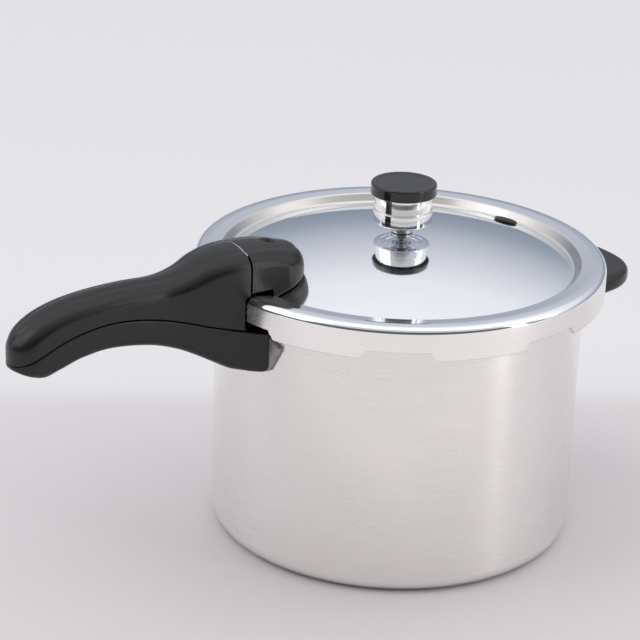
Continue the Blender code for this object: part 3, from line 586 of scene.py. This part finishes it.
def make_cover(mat):
    inner = COVER_R - COVER_THICK
    low, tip = SKIRT_LOW, SKIRT_LOW + LIP_THICK
    corners = cover_top_corners()
    corners += [(COVER_R, COVER_TOP - 0.45 * MM, 4.0 * MM), (COVER_R, low, 0.7 * MM), (inner, low, 0.3 * MM),
                (inner - 0.4 * MM, low + 0.3 * MM, 0.1 * MM), (inner - 0.8 * MM, low + 0.3 * MM, 0.1 * MM),
                (inner - 0.8 * MM, tip, 0.1 * MM), (inner, tip, 0.2 * MM),
                (inner, COVER_TOP - COVER_THICK, 1.6 * MM),
                (BAND_R + 2.0 * MM, COVER_TOP - COVER_THICK, 1.2 * MM),
                (RECESS_R + 0.6 * MM, RECESS_Z - COVER_THICK + 0.3 * MM, 2.0 * MM)]
    corners += [(RECESS_R * k / 14, dome_height(RECESS_R * k / 14) - COVER_THICK, 0)
                for k in range(13, -1, -1)]
    shoulder_low = COVER_TOP - 6.0 * MM

    def lugs(r, z, angle):
        edge = skirt_edge(angle)
        raised = (edge - low) * (1 - ease(low + LIP_THICK, shoulder_low, z)) if z < shoulder_low else 0.0
        if r < inner - 0.2 * MM and z < tip + 1.0 * MM:
            away = abs(from_nearest_lug(angle))
            out = 1 - ease(LIP_HALF - math.radians(1.0), LIP_HALF, away)
            share = min((inner - r) / (0.8 * MM), 1.0)
            r = inner - share * (0.02 * MM + out * (inner - LIP_R))
        return r, z + raised

    cover = revolve("cover_shell", rounded(corners, steps=6), mat, LUG_STEPS, warp=lugs)
    combine(cover, "DIFFERENCE",
            drill("pipe_hole", 4.2 * MM, DOME_Z - 9 * MM, DOME_Z + 6 * MM, steps=32),
            drill("plug_hole", 5.2 * MM, -9 * MM, 5 * MM, steps=32, stand=plug_stand()),
            drill("lock_hole", 5.2 * MM, RECESS_Z - 9 * MM, COVER_TOP + 5 * MM, (LOCK_X, 0.0), 32))
    return piece(cover, "cover", "polished_aluminium", "cover")


def make_sealing_ring(mat):
    low, high = box_of("sealing_ring")[0].z, box_of("sealing_ring")[1].z
    outside = box_of("sealing_ring")[1].y
    inside = BAND_R + 2.3 * MM
    profile = rounded([
        (inside, high, 0.9 * MM), (outside, high, 0.9 * MM), (outside, low, 0.7 * MM),
        (outside - 3.2 * MM, low, 0.5 * MM), (outside - 3.6 * MM, low + 2.2 * MM, 0.6 * MM),
        (inside + 3.2 * MM, low + 2.2 * MM, 0.6 * MM), (inside + 2.6 * MM, low, 0.5 * MM),
        (inside, low, 0.7 * MM)], closed=True)
    ring = revolve("sealing_ring_lip", profile, mat, BIG_STEPS, closed=True)
    return piece(ring, "seal", "black_rubber", "sealing_ring")


def make_plug(mat):
    """Rubber overpressure plug, flush with the dome, its middle slightly dished."""
    under = -COVER_THICK - 0.8 * MM
    profile = rounded([
        (0.0, 1.1 * MM, 0), (3.2 * MM, 1.15 * MM, 0.8 * MM), (4.1 * MM, 1.9 * MM, 0.6 * MM),
        (6.0 * MM, 1.9 * MM, 1.2 * MM), (7.4 * MM, 1.0 * MM, 0.4 * MM), (7.4 * MM, 0.3 * MM, 0.1 * MM),
        (4.9 * MM, 0.3 * MM, 0.2 * MM), (4.9 * MM, under, 0.2 * MM), (6.2 * MM, under, 0.4 * MM),
        (5.6 * MM, under - 2.2 * MM, 0.8 * MM), (3.2 * MM, under - 3.4 * MM, 0.8 * MM),
        (0.0, under - 3.4 * MM, 0)])
    plug = revolve("plug_button", profile, mat, SMALL_STEPS, stand=plug_stand())
    return piece(plug, "cover", "black_rubber", "overpressure_plug")


def make_vent_pipe(mat):
    low, high = box_of("vent_pipe")[0].z, box_of("vent_pipe")[1].z
    seat = DOME_Z + 0.3 * MM
    neck_low = WEIGHT_LOW - 1.0 * MM
    bore, neck, shaft = 1.3 * MM, 2.7 * MM, 3.5 * MM
    corners = [(bore, high, 0.2 * MM), (1.9 * MM, high, 0.3 * MM), (neck, high - 2.4 * MM, 0.4 * MM),
               (neck, neck_low, 0.2 * MM), (shaft, neck_low - 0.8 * MM, 0.3 * MM)]
    for k in range(2):
        z = seat + (4.1 - 1.0 * k) * MM
        corners += [(shaft, z, 0.1 * MM), (3.2 * MM, z - 0.25 * MM, 0.1 * MM),
                    (3.2 * MM, z - 0.5 * MM, 0.1 * MM), (shaft, z - 0.75 * MM, 0.1 * MM)]
    corners += [(shaft, seat + 2.2 * MM, 0.3 * MM), (6.4 * MM, seat + 2.2 * MM, 0.5 * MM),
                (6.4 * MM, seat, 0.2 * MM), (3.9 * MM, seat, 0.1 * MM), (3.9 * MM, low, 0.5 * MM),
                (bore, low, 0.2 * MM)]
    pipe = revolve("vent_pipe_turned", rounded(corners, closed=True, steps=3), mat, 64, closed=True)
    return piece(pipe, "cover", "steel", "vent_pipe")


def make_lock_pin(mat):
    low, high = box_of("cover_lock_pin")[0].z, box_of("cover_lock_pin")[1].z
    rest = high - 3.4 * MM
    flange = low + 1.4 * MM          # just under the gasket when the lock is up
    stem = LOCK_STEM_R
    profile = rounded([
        (0.0, high, 0), (stem, high, 0.8 * MM), (stem, rest + 1.4 * MM, 0.2 * MM),
        (4.2 * MM, rest + 1.4 * MM, 0.3 * MM), (4.2 * MM, rest, 0.2 * MM), (stem, rest, 0.1 * MM),
        (stem, flange, 0.1 * MM), (LOCK_FLANGE_R, flange, 0.3 * MM), (LOCK_FLANGE_R, low, 0.4 * MM),
        (0.0, low, 0)])
    pin = revolve("lock_pin_turned", profile, mat, 64, at=(LOCK_X, 0.0))
    return piece(pin, "lock", "steel", "cover_lock_pin")


# ---------------------------------------------------------------- regulator

def make_regulator(chrome_mat, cap_mat):
    """Turned weight: two close-fitting steps with a thin groove between, and a moulded cap."""
    upper_r = WEIGHT_R - 0.4 * MM
    groove = WEIGHT_LOW + 8.4 * MM
    bore_top = WEIGHT_LOW + 10.7 * MM
    pocket = bore_top + 1.4 * MM
    high = box_of("regulator_weight")[1].z
    weight = revolve("weight_turned", rounded([
        (0.0, pocket, 0), (3.3 * MM, pocket, 0.1 * MM), (3.3 * MM, high, 0.2 * MM),
        (upper_r, high, 0.4 * MM), (upper_r, groove + 0.1 * MM, 0.25 * MM),
        (upper_r - 0.6 * MM, groove, 0.1 * MM), (upper_r - 0.6 * MM, groove - 0.35 * MM, 0.1 * MM),
        (WEIGHT_R, groove - 0.5 * MM, 0.35 * MM), (WEIGHT_R, WEIGHT_LOW, 0.7 * MM),
        (14.6 * MM, WEIGHT_LOW, 0.3 * MM), (14.0 * MM, WEIGHT_LOW + 0.6 * MM, 0.3 * MM),
        (10.9 * MM, WEIGHT_LOW + 0.6 * MM, 0.3 * MM), (9.6 * MM, WEIGHT_LOW + 1.2 * MM, 0.4 * MM),
        (5.9 * MM, WEIGHT_LOW + 1.2 * MM, 0.3 * MM), (5.9 * MM, bore_top, 0.2 * MM),
        (0.0, bore_top, 0)], steps=4), chrome_mat, 160)
    piece(weight, "regulator", "chrome", "regulator_weight")
    low = high + 0.3 * MM
    spigot = pocket + 0.4 * MM
    cap = revolve("cap_moulded", rounded([
        (0.0, CAP_TOP - 0.7 * MM, 0), (CAP_R - 3.9 * MM, CAP_TOP - 0.55 * MM, 0.5 * MM),
        (CAP_R - 3.0 * MM, CAP_TOP, 0.6 * MM), (CAP_R, CAP_TOP, 2.0 * MM), (CAP_R, low, 1.2 * MM),
        (18.3 * MM, low, 0.2 * MM), (17.9 * MM, low + 0.5 * MM, 0.2 * MM),
        (3.0 * MM, low + 0.5 * MM, 0.1 * MM),
        (3.0 * MM, spigot, 0.3 * MM), (0.0, spigot, 0)], steps=6), cap_mat, 160)
    return piece(cap, "regulator", "black_gloss", "regulator_cap")


# ---------------------------------------------------------------- long handles

def line_height(line, u):
    """Height of a smooth curve (Catmull-Rom) through the line's points at distance u."""
    pts = [(a * MM, b * MM) for a, b in line]
    u = min(max(u, pts[0][0]), pts[-1][0])
    i = max(k for k in range(len(pts) - 1) if pts[k][0] <= u)
    p1, p2 = pts[i], pts[i + 1]
    p0 = pts[i - 1] if i else p1
    p3 = pts[i + 2] if i + 2 < len(pts) else p2
    span = p2[0] - p1[0]
    slope1 = (p2[1] - p0[1]) / (p2[0] - p0[0])
    slope2 = (p3[1] - p1[1]) / (p3[0] - p1[0])
    t = (u - p1[0]) / span
    return ((2 * t ** 3 - 3 * t ** 2 + 1) * p1[1] + (t ** 3 - 2 * t ** 2 + t) * span * slope1
            + (3 * t ** 2 - 2 * t ** 3) * p2[1] + (t ** 3 - t ** 2) * span * slope2)


def handle_half_width(u):
    wide = HEAD_HALF + (GRIP_HALF - HEAD_HALF) * ease(122 * MM, 172 * MM, u)
    tail = GRIP_END - u
    if tail < GRIP_HALF:
        wide *= math.sqrt(max(1 - (1 - tail / GRIP_HALF) ** 2.4, 0.0))
    nose = u - NOSE_TIP
    if nose < HEAD_HALF:
        wide *= math.sqrt(max(1 - (1 - nose / HEAD_HALF) ** 2, 0.0))
    return wide


def end_drop(distance, radius):
    """How far a handle's top falls at this distance from its end, along a quarter circle."""
    left = min(max(1 - distance / radius, 0.0), 1.0)
    return radius * (1 - math.sqrt(1 - left * left))


def arc(cy, cz, radius, start, end, count):
    return [(cy + radius * math.cos(math.radians(start + (end - start) * i / count)),
             cz + radius * math.sin(math.radians(start + (end - start) * i / count)))
            for i in range(count + 1)]


def section(u, half, low, high, low_round, high_round, crown):
    """One ring of a handle: rounded corners, and a top that rises by crown in the middle."""
    half = max(half, 0.3 * MM)
    low_round = min(low_round, 0.45 * (high - low), 0.9 * half)
    high_round = min(high_round, 0.7 * (high - low), 0.9 * half)
    side_top = high - crown * min(half / HEAD_HALF, 1.0)
    inner = half - high_round
    ring = arc(half - low_round, low + low_round, low_round, -90, 0, 6)
    ring += arc(half - high_round, side_top - high_round, high_round, 0, 90, 10)
    for k in range(1, 12):
        y = inner * (1 - k / 6)
        ring.append((y, side_top + (high - side_top) * (1 - (y / inner) ** 2)))
    ring += arc(-half + high_round, side_top - high_round, high_round, 90, 180, 10)
    ring += arc(-half + low_round, low + low_round, low_round, 180, 270, 6)
    return [Vector((-u, y, z)) for y, z in ring]


def loft(name, rings, mat):
    bm = bmesh.new()
    rows = [[bm.verts.new(p) for p in ring] for ring in rings]
    count = len(rows[0])
    for a, b in zip(rows, rows[1:]):
        for i in range(count):
            j = (i + 1) % count
            bm.faces.new((a[i], a[j], b[j], b[i]))
    bm.faces.new(rows[0])
    bm.faces.new(rows[-1][::-1])
    return new_object(name, bm, mat)


def stations(start, end, count, crowd_start=False, crowd_end=False):
    """Distances from start to end, closer together where the end is rounded."""
    values = []
    for i in range(count + 1):
        t = i / count
        if crowd_start and crowd_end:
            t = (1 - math.cos(math.pi * t)) / 2
        elif crowd_start:
            t = 1 - math.cos(math.pi * t / 2)
        elif crowd_end:
            t = math.sin(math.pi * t / 2)
        values.append(start + (end - start) * t)
    return values


def nose_low(u, half):
    """Height of the nose's underside: just clear of the dome or the band where its sides stand."""
    reach = math.hypot(u, half)
    return (dome_height(reach) if reach < RECESS_R else COVER_TOP) + 0.6 * MM


def upper_rings(start, end, count, crowd_start, crowd_end):
    rings = []
    for u in stations(start, end, count, crowd_start, crowd_end):
        half = handle_half_width(u)
        on_cover = u < GRIP_START
        low = nose_low(u, half) if on_cover else line_height(PART_LINE, u) + HANDLE_GAP
        high = line_height(TOP_LINE, u)
        high -= end_drop(u - NOSE_TIP, NOSE_ROUND) + end_drop(GRIP_END - u, TAIL_ROUND)
        rings.append(section(u, half, low, high, 2.6 * MM if on_cover else 0.8 * MM, TOP_ROUND, TOP_CROWN))
    return rings


def cover_envelope():
    """The closed cover's outside grown by a clearance: cuts the handle's underside to fit."""
    corners = cover_top_corners(0.45 * MM)
    corners += [(COVER_R + 0.8 * MM, COVER_TOP, 3.0 * MM), (COVER_R + 0.8 * MM, 120 * MM, 0),
                (0.0, 120 * MM, 0)]
    return revolve("cover_envelope", rounded(corners), None, BIG_STEPS)


def tongue_slot(side, screw_at, low):
    """Cutter for the slot that a bracket's tongue enters, with clearance all round."""
    ends = sorted((side * 105 * MM, side * (screw_at + 10 * MM)))
    return block("tongue_slot", (ends[0], -TONGUE_HALF - 0.4 * MM, low - 0.4 * MM),
                 (ends[1], TONGUE_HALF + 0.4 * MM, low + TONGUE_THICK + 0.4 * MM))


def strap_slot():
    return block("strap_slot", (-151.0 * MM, -9.4 * MM, 172.6 * MM), (-110.1 * MM, 9.4 * MM, 176.4 * MM))


def make_cover_handle(mat):
    grip = loft("handle_grip", upper_rings(GRIP_START, GRIP_END, 110, False, True), mat)
    nose = loft("handle_nose", upper_rings(NOSE_TIP, NOSE_END, 44, True, False), mat)
    cutters = [cover_envelope(), strap_slot()]
    for u in COVER_SCREWS:
        floor = line_height(PART_LINE, u)
        top = line_height(TOP_LINE, u) - 6.5 * MM
        cutters += [drill("screw_hole", 2.4 * MM, floor - 5 * MM, top, (-u, 0.0), 32),
                    drill("screw_bore", 4.1 * MM, floor - 5 * MM, floor + 6 * MM, (-u, 0.0), 32)]
    combine(grip, "DIFFERENCE", *cutters)
    rim = line_height(TOP_LINE, -LOCK_X)
    combine(nose, "DIFFERENCE", cover_envelope(), strap_slot(),
            drill("lock_pocket", 8.0 * MM, 160 * MM, 183.4 * MM, (LOCK_X, 0.0)),
            drill("view_hole", 3.6 * MM, 180 * MM, 206 * MM, (LOCK_X, 0.0)),
            drill("view_countersink", 3.2 * MM, rim - 2 * MM, rim + 2 * MM, (LOCK_X, 0.0),
                  top_radius=6.4 * MM))
    piece(grip, "cover", "black_phenolic", "cover_handle_grip")
    piece(nose, "cover", "black_phenolic", "cover_handle_nose")


def make_trim_strip(mat):
    rings = []
    gap = 0.3 * MM
    for u in (NOSE_END + gap, GRIP_START - gap):
        high = line_height(TOP_LINE, u) - 0.15 * MM
        full = section(u, handle_half_width(u), 150 * MM, high, 0.8 * MM, TOP_ROUND, TOP_CROWN)
        top = [p for p in full if p.z > high - 3.2 * MM]
        lower = [Vector((p.x, p.y * 0.88, p.z - 1.6 * MM)) for p in reversed(top)]
        rings.append(top + lower)
    return piece(loft("trim_inlay", rings, mat), "cover", "steel", "handle_trim_strip")


def make_body_handle(mat):
    """Lower moulding, its head hollowed to stand against the curved bracket on the pot."""
    rings = []
    for u in stations(106 * MM, GRIP_END - 0.2 * MM, 100, False, True):
        half = handle_half_width(u) + HEAD_FLARE * (1 - ease(109 * MM, 125 * MM, u))
        rings.append(section(u, half, line_height(LOW_LINE, u), line_height(PART_LINE, u),
                             5.0 * MM, 0.8 * MM, 0.0))
    handle = loft("body_handle_grip", rings, mat)
    bore_top = line_height(LOW_LINE, BODY_SCREW) + 5 * MM
    hole_top = BODY_TONGUE_LOW + 11 * MM
    combine(handle, "DIFFERENCE",
            drill("body_handle_wall", BRACKET_OUT + 0.3 * MM, 110 * MM, 160 * MM, steps=BIG_STEPS),
            tongue_slot(-1, BODY_SCREW, BODY_TONGUE_LOW),
            drill("screw_hole", 2.4 * MM, bore_top - 12 * MM, hole_top, (-BODY_SCREW, 0.0), 32),
            drill("screw_bore", 4.1 * MM, bore_top - 12 * MM, bore_top, (-BODY_SCREW, 0.0), 32))
    return piece(handle, "pot", "black_phenolic", "body_handle")


# ---------------------------------------------------------------- helper handle

def helper_outline():
    """D-shaped wing in plan: straight against the pot, a wide rounded end away from it."""
    length = HELPER_END - HELPER_START
    outline = []
    count = 96
    for k in range(count + 1):
        a = -math.pi / 2 + math.pi * k / count
        x = HELPER_START + length * max(math.cos(a), 0.0) ** 0.6
        y = HELPER_HALF * math.copysign(abs(math.sin(a)) ** 0.8, math.sin(a))
        outline.append((x, y))
    return outline


def rolled_slab(name, outline, low, high, radius, mat, rings=10):
    """An outline in plan given thickness, its rim rolled over as a round of the given radius."""
    centre_x = HELPER_START + 10 * MM
    rows = []
    for k in range(2 * rings + 2):
        upper = k > rings
        t = (k - rings - 1) / rings if upper else k / rings
        a = math.pi / 2 * (t if upper else 1 - t)
        inset = radius * (1 - math.cos(a))
        z = high - radius + radius * math.sin(a) if upper else low + radius - radius * math.sin(a)
        rows.append((inset, z))
    bm = bmesh.new()
    loops = []
    for inset, z in rows:
        loop = []
        for x, y in outline:
            away = Vector((max(x - centre_x, 0.0), y))
            share = inset / max(away.length, inset, 1e-6)
            drawn_in = max(x - centre_x, 0.0) * share
            loop.append(bm.verts.new((x - drawn_in, y * (1 - share), z)))
        loops.append(loop)
    count = len(outline)
    for a, b in zip(loops, loops[1:]):
        for i in range(count):
            j = (i + 1) % count
            bm.faces.new((a[i], a[j], b[j], b[i]))
    bm.faces.new(loops[0][::-1])
    bm.faces.new(loops[-1])
    return new_object(name, bm, mat)


def make_helper_handle(mat):
    """Short wing opposite the long handles, with a boss below it over its bracket."""
    handle = rolled_slab("helper_wing", helper_outline(), HELPER_LOW, HELPER_HIGH, 4.6 * MM, mat)
    boss = block("helper_boss", (HELPER_START, -14 * MM, HELPER_BOSS_LOW),
                 (HELPER_SCREW + 9 * MM, 14 * MM, HELPER_LOW + 4 * MM), 2.2 * MM)
    combine(handle, "UNION", boss)
    bore_top = HELPER_BOSS_LOW + 4.6 * MM
    hole_low = HELPER_BOSS_LOW - 5 * MM
    combine(handle, "DIFFERENCE",
            drill("helper_wall", BRACKET_OUT + 0.3 * MM, 110 * MM, 160 * MM, steps=BIG_STEPS),
            tongue_slot(1, HELPER_SCREW, HELPER_TONGUE_LOW),
            drill("helper_screw_hole", 2.4 * MM, hole_low, HELPER_TONGUE_LOW + 10 * MM,
                  (HELPER_SCREW, 0.0), 32),
            drill("helper_screw_bore", 4.1 * MM, hole_low, bore_top, (HELPER_SCREW, 0.0), 32))
    return piece(handle, "pot", "black_phenolic", "helper_handle")


# ---------------------------------------------------------------- hardware

def make_screw(name, node, body, mat):
    """Pan-head screw pointing up, with a cross recess in its head."""
    (low, high) = box_of(node)
    at = ((low.x + high.x) / 2, (low.y + high.y) / 2)
    head, shank = 3.6 * MM, 2.0 * MM
    corners = [(0.0, high.z, 0), (shank - 0.6 * MM, high.z, 0.2 * MM), (shank, high.z - 0.8 * MM, 0.2 * MM),
               (shank, low.z + 2.4 * MM, 0.1 * MM), (head, low.z + 2.4 * MM, 0.3 * MM),
               (head, low.z, 1.5 * MM), (0.0, low.z, 0)]
    screw = revolve(name, rounded(corners), mat, 48, at=at)
    arm, half = 2.2 * MM, 0.45 * MM
    slots = []
    for reach_x, reach_y in ((arm, half), (half, arm)):
        slots.append(block("recess", (at[0] - reach_x, at[1] - reach_y, low.z - 1 * MM),
                           (at[0] + reach_x, at[1] + reach_y, low.z + 1.1 * MM)))
    combine(screw, "DIFFERENCE", *slots)
    return piece(screw, body, "steel", node)


def soften(node, width):
    """Round a carried-over CAD node's edges."""
    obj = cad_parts[node]
    bevel = obj.modifiers.new("worn_edges", "BEVEL")
    bevel.width = width
    bevel.segments = 3
    bevel.limit_method = "ANGLE"
    bevel.angle_limit = math.radians(35)
    bevel.harden_normals = True
    return obj


def dress_cad_nodes(steel, shade_painted_steel, rubber):
    """Small hardware stays as the CAD made it, with its edges softened and its own finish, except that the
    body handle's bracket gets a darker steel that is painted shade.
    """
    finishes = {
        # the body handle's bracket: darker steel as painted shade under the cover's skirt
        "body_handle_bracket": (shade_painted_steel, 0.5 * MM), "helper_handle_bracket": (steel, 0.5 * MM),
        "cover_handle_bracket": (steel, 0.4 * MM), "vent_pipe_nut": (steel, 0.4 * MM),
        "cover_handle_washer_1": (steel, 0.15 * MM), "cover_handle_washer_2": (steel, 0.15 * MM),
        "body_handle_washer": (steel, 0.15 * MM), "helper_handle_washer": (steel, 0.15 * MM),
        "cover_lock_gasket": (rubber, 0.2 * MM), "regulator_seat": (steel, 0.2 * MM)}
    for node, (mat, width) in finishes.items():
        obj = soften(node, width)
        obj.data.materials.clear()
        obj.data.materials.append(mat)


# ---------------------------------------------------------------- studio

BACK_AZIMUTH = math.radians(-37.0)    # the studio's back wall faces this way
WORLD_STRENGTH = 1.5
WORLD_STOPS = ((0.0, (0.17, 0.20, 0.245)), (11.0, (0.225, 0.25, 0.295)), (23.0, (0.36, 0.37, 0.41)),
               (45.0, (0.60, 0.60, 0.62)), (62.0, (0.66, 0.66, 0.67)), (80.0, (0.95, 0.95, 0.95)),
               (108.0, (0.95, 0.94, 0.93)), (118.0, (0.48, 0.48, 0.48)), (140.0, (0.42, 0.42, 0.42)),
               (150.0, (0.08, 0.08, 0.085)), (180.0, (0.07, 0.07, 0.075)))
CAMERA_AZIMUTH = math.radians(-37.0)
CAMERA_ELEVATION = math.radians(23.144)
CAMERA_DISTANCE = 1.37
CAMERA_ROLL = math.radians(2.0)
CAMERA_LENS = 125.6                   # mm on a 36 mm sensor
AIM_SIDE, AIM_HEIGHT = -0.04713, 0.12549
# the lighter floor colour in front of the cooker is painted light
FLOOR_NEAR, FLOOR_FAR, FLOOR_FORE_PAINTED_LIGHT = (0.72, 0.69, 0.705), (0.80, 0.79, 0.81), (0.86, 0.84, 0.835)
FLOOR_SLANT = 0.119                   # how far the floor's bands lean from square to the camera


def make_camera():
    a, e = CAMERA_AZIMUTH, CAMERA_ELEVATION
    back = Vector((math.sin(a) * math.cos(e), -math.cos(a) * math.cos(e), math.sin(e)))
    side = Vector((math.cos(a), math.sin(a), 0.0))
    eye = Vector((0.0, 0.0, 0.1)) + back * CAMERA_DISTANCE
    ahead = (side * AIM_SIDE + Vector((0.0, 0.0, AIM_HEIGHT)) - eye).normalized()
    right = ahead.cross(Vector((0.0, 0.0, 1.0))).normalized()
    up = right.cross(ahead)
    c, s = math.cos(CAMERA_ROLL), math.sin(CAMERA_ROLL)
    right, up = right * c + up * s, up * c - right * s
    data = bpy.data.cameras.new("camera")
    data.lens = CAMERA_LENS
    data.sensor_width = 36.0
    data.clip_start, data.clip_end = 0.05, 50.0
    data.dof.use_dof = False
    camera = bpy.data.objects.new("camera", data)
    bpy.context.scene.collection.objects.link(camera)
    camera.matrix_world = Matrix((
        (right.x, up.x, -ahead.x, eye.x), (right.y, up.y, -ahead.y, eye.y),
        (right.z, up.z, -ahead.z, eye.z), (0.0, 0.0, 0.0, 1.0)))
    bpy.context.scene.camera = camera


def make_floor():
    """Pale table that turns lighter behind the cooker and again in front, where the lighter colour is
    painted light, along soft straight edges.
    """
    s = Shader("floor_pale", FLOOR_NEAR, 0.6, 0.0)
    x, y, _ = s.split(s.place())
    across, depth = math.cos(BACK_AZIMUTH), math.sin(BACK_AZIMUTH)
    ahead = s.math("ADD", s.math("MULTIPLY", x, -depth), s.math("MULTIPLY", y, across))
    aside = s.math("ADD", s.math("MULTIPLY", x, across), s.math("MULTIPLY", y, depth))
    line = s.math("SUBTRACT", ahead, s.math("MULTIPLY", aside, FLOOR_SLANT))
    far = s.remap(line, 0.145, 0.205, 0.0, 1.0)
    # lighter floor in front of the cooker: painted light
    painted_light_fore = s.remap(line, -0.21, -0.31, 0.0, 1.0)
    table = s.mix(far, s.color, FLOOR_FAR)
    s.use("Base Color", s.mix(painted_light_fore, table, FLOOR_FORE_PAINTED_LIGHT))
    s.bump((s.noise(s.place(), 60.0, 3.0), 0.05 * MM))
    bm = bmesh.new()
    bmesh.ops.create_grid(bm, x_segments=1, y_segments=1, size=12.0)
    floor = new_object("floor", bm, s.mat)
    floor.location.z = -0.2 * MM


def make_world():
    """Studio surroundings, by the angle from the back horizon over the top to the front one.

    Blue-grey behind, white overhead, grey towards the front and a dark room at the front horizon.
    """
    world = bpy.data.worlds.new("studio")
    bpy.context.scene.world = world
    world.use_nodes = True
    tree = world.node_tree
    coord = tree.nodes.new("ShaderNodeTexCoord")
    split = tree.nodes.new("ShaderNodeSeparateXYZ")
    tree.links.new(coord.outputs["Generated"], split.inputs[0])
    behind = tree.nodes.new("ShaderNodeVectorMath")
    behind.operation = "DOT_PRODUCT"
    behind.inputs[1].default_value = (-math.sin(BACK_AZIMUTH), math.cos(BACK_AZIMUTH), 0.0)
    tree.links.new(coord.outputs["Generated"], behind.inputs[0])
    turn = tree.nodes.new("ShaderNodeMath")
    turn.operation = "ARCTAN2"
    tree.links.new(split.outputs[2], turn.inputs[0])
    tree.links.new(behind.outputs["Value"], turn.inputs[1])
    share = tree.nodes.new("ShaderNodeMath")
    share.operation = "DIVIDE"
    share.inputs[1].default_value = math.pi
    tree.links.new(turn.outputs[0], share.inputs[0])
    ramp = tree.nodes.new("ShaderNodeValToRGB")
    tree.links.new(share.outputs[0], ramp.inputs[0])
    tree.links.new(ramp.outputs[0], tree.nodes["Background"].inputs["Color"])
    ramp.color_ramp.elements[0].position = WORLD_STOPS[0][0] / 180
    ramp.color_ramp.elements[1].position = WORLD_STOPS[-1][0] / 180
    for degrees, color in WORLD_STOPS[1:-1]:
        ramp.color_ramp.elements.new(degrees / 180)
    for element, (degrees, color) in zip(ramp.color_ramp.elements, WORLD_STOPS):
        element.position = degrees / 180
        element.color = (*color, 1.0)
    tree.nodes["Background"].inputs["Strength"].default_value = WORLD_STRENGTH


def area_light(name, azimuth, elevation, distance, width, height, power, color=(1.0, 1.0, 1.0)):
    """A softbox facing the cooker. Azimuth is counted as the camera's is."""
    a, e = math.radians(azimuth), math.radians(elevation)
    away = Vector((math.sin(a) * math.cos(e), -math.cos(a) * math.cos(e), math.sin(e)))
    data = bpy.data.lights.new(name, "AREA")
    data.shape = "RECTANGLE"
    data.size, data.size_y = width, height
    data.energy = power
    data.color = color
    light = bpy.data.objects.new(name, data)
    bpy.context.scene.collection.objects.link(light)
    light.location = Vector((0.0, 0.0, 0.1)) + away * distance
    light.rotation_mode = "QUATERNION"
    light.rotation_quaternion = (-away).to_track_quat("-Z", "Y")


def make_lights():
    area_light("strip", 28.0, 14.0, 1.5, 0.22, 1.0, 2.4, (1.0, 0.985, 0.97))
    area_light("left_fill", -100.0, 35.0, 1.8, 0.9, 1.2, 3.0, (0.97, 0.98, 1.0))


def make_everything():
    aluminium, polished, chrome_mat = brushed_aluminium(), polished_aluminium(), chrome()
    steel = plain_steel("steel_plain", (0.60, 0.60, 0.62))
    # a darker copy of the plain steel: painted shade, used on the body handle's bracket
    shade_painted_steel = plain_steel("steel_painted_shade", (0.33, 0.33, 0.345))
    phenolic, gloss, rubber = black_phenolic(), black_gloss(), black_rubber()
    make_pot(aluminium)
    make_rack(aluminium)
    make_cover(polished)
    make_sealing_ring(rubber)
    make_plug(rubber)
    make_vent_pipe(steel)
    make_lock_pin(steel)
    make_regulator(chrome_mat, gloss)
    make_cover_handle(phenolic)
    make_trim_strip(steel)
    make_body_handle(phenolic)
    make_helper_handle(phenolic)
    make_screw("cover_screw_1", "cover_handle_screw_1", "cover", steel)
    make_screw("cover_screw_2", "cover_handle_screw_2", "cover", steel)
    make_screw("body_screw", "body_handle_screw", "pot", steel)
    make_screw("helper_screw", "helper_handle_screw", "pot", steel)
    dress_cad_nodes(steel, shade_painted_steel, rubber)


make_everything()
make_floor()
make_world()
make_lights()
make_camera()
bpy.context.scene.view_settings.view_transform = "Standard"
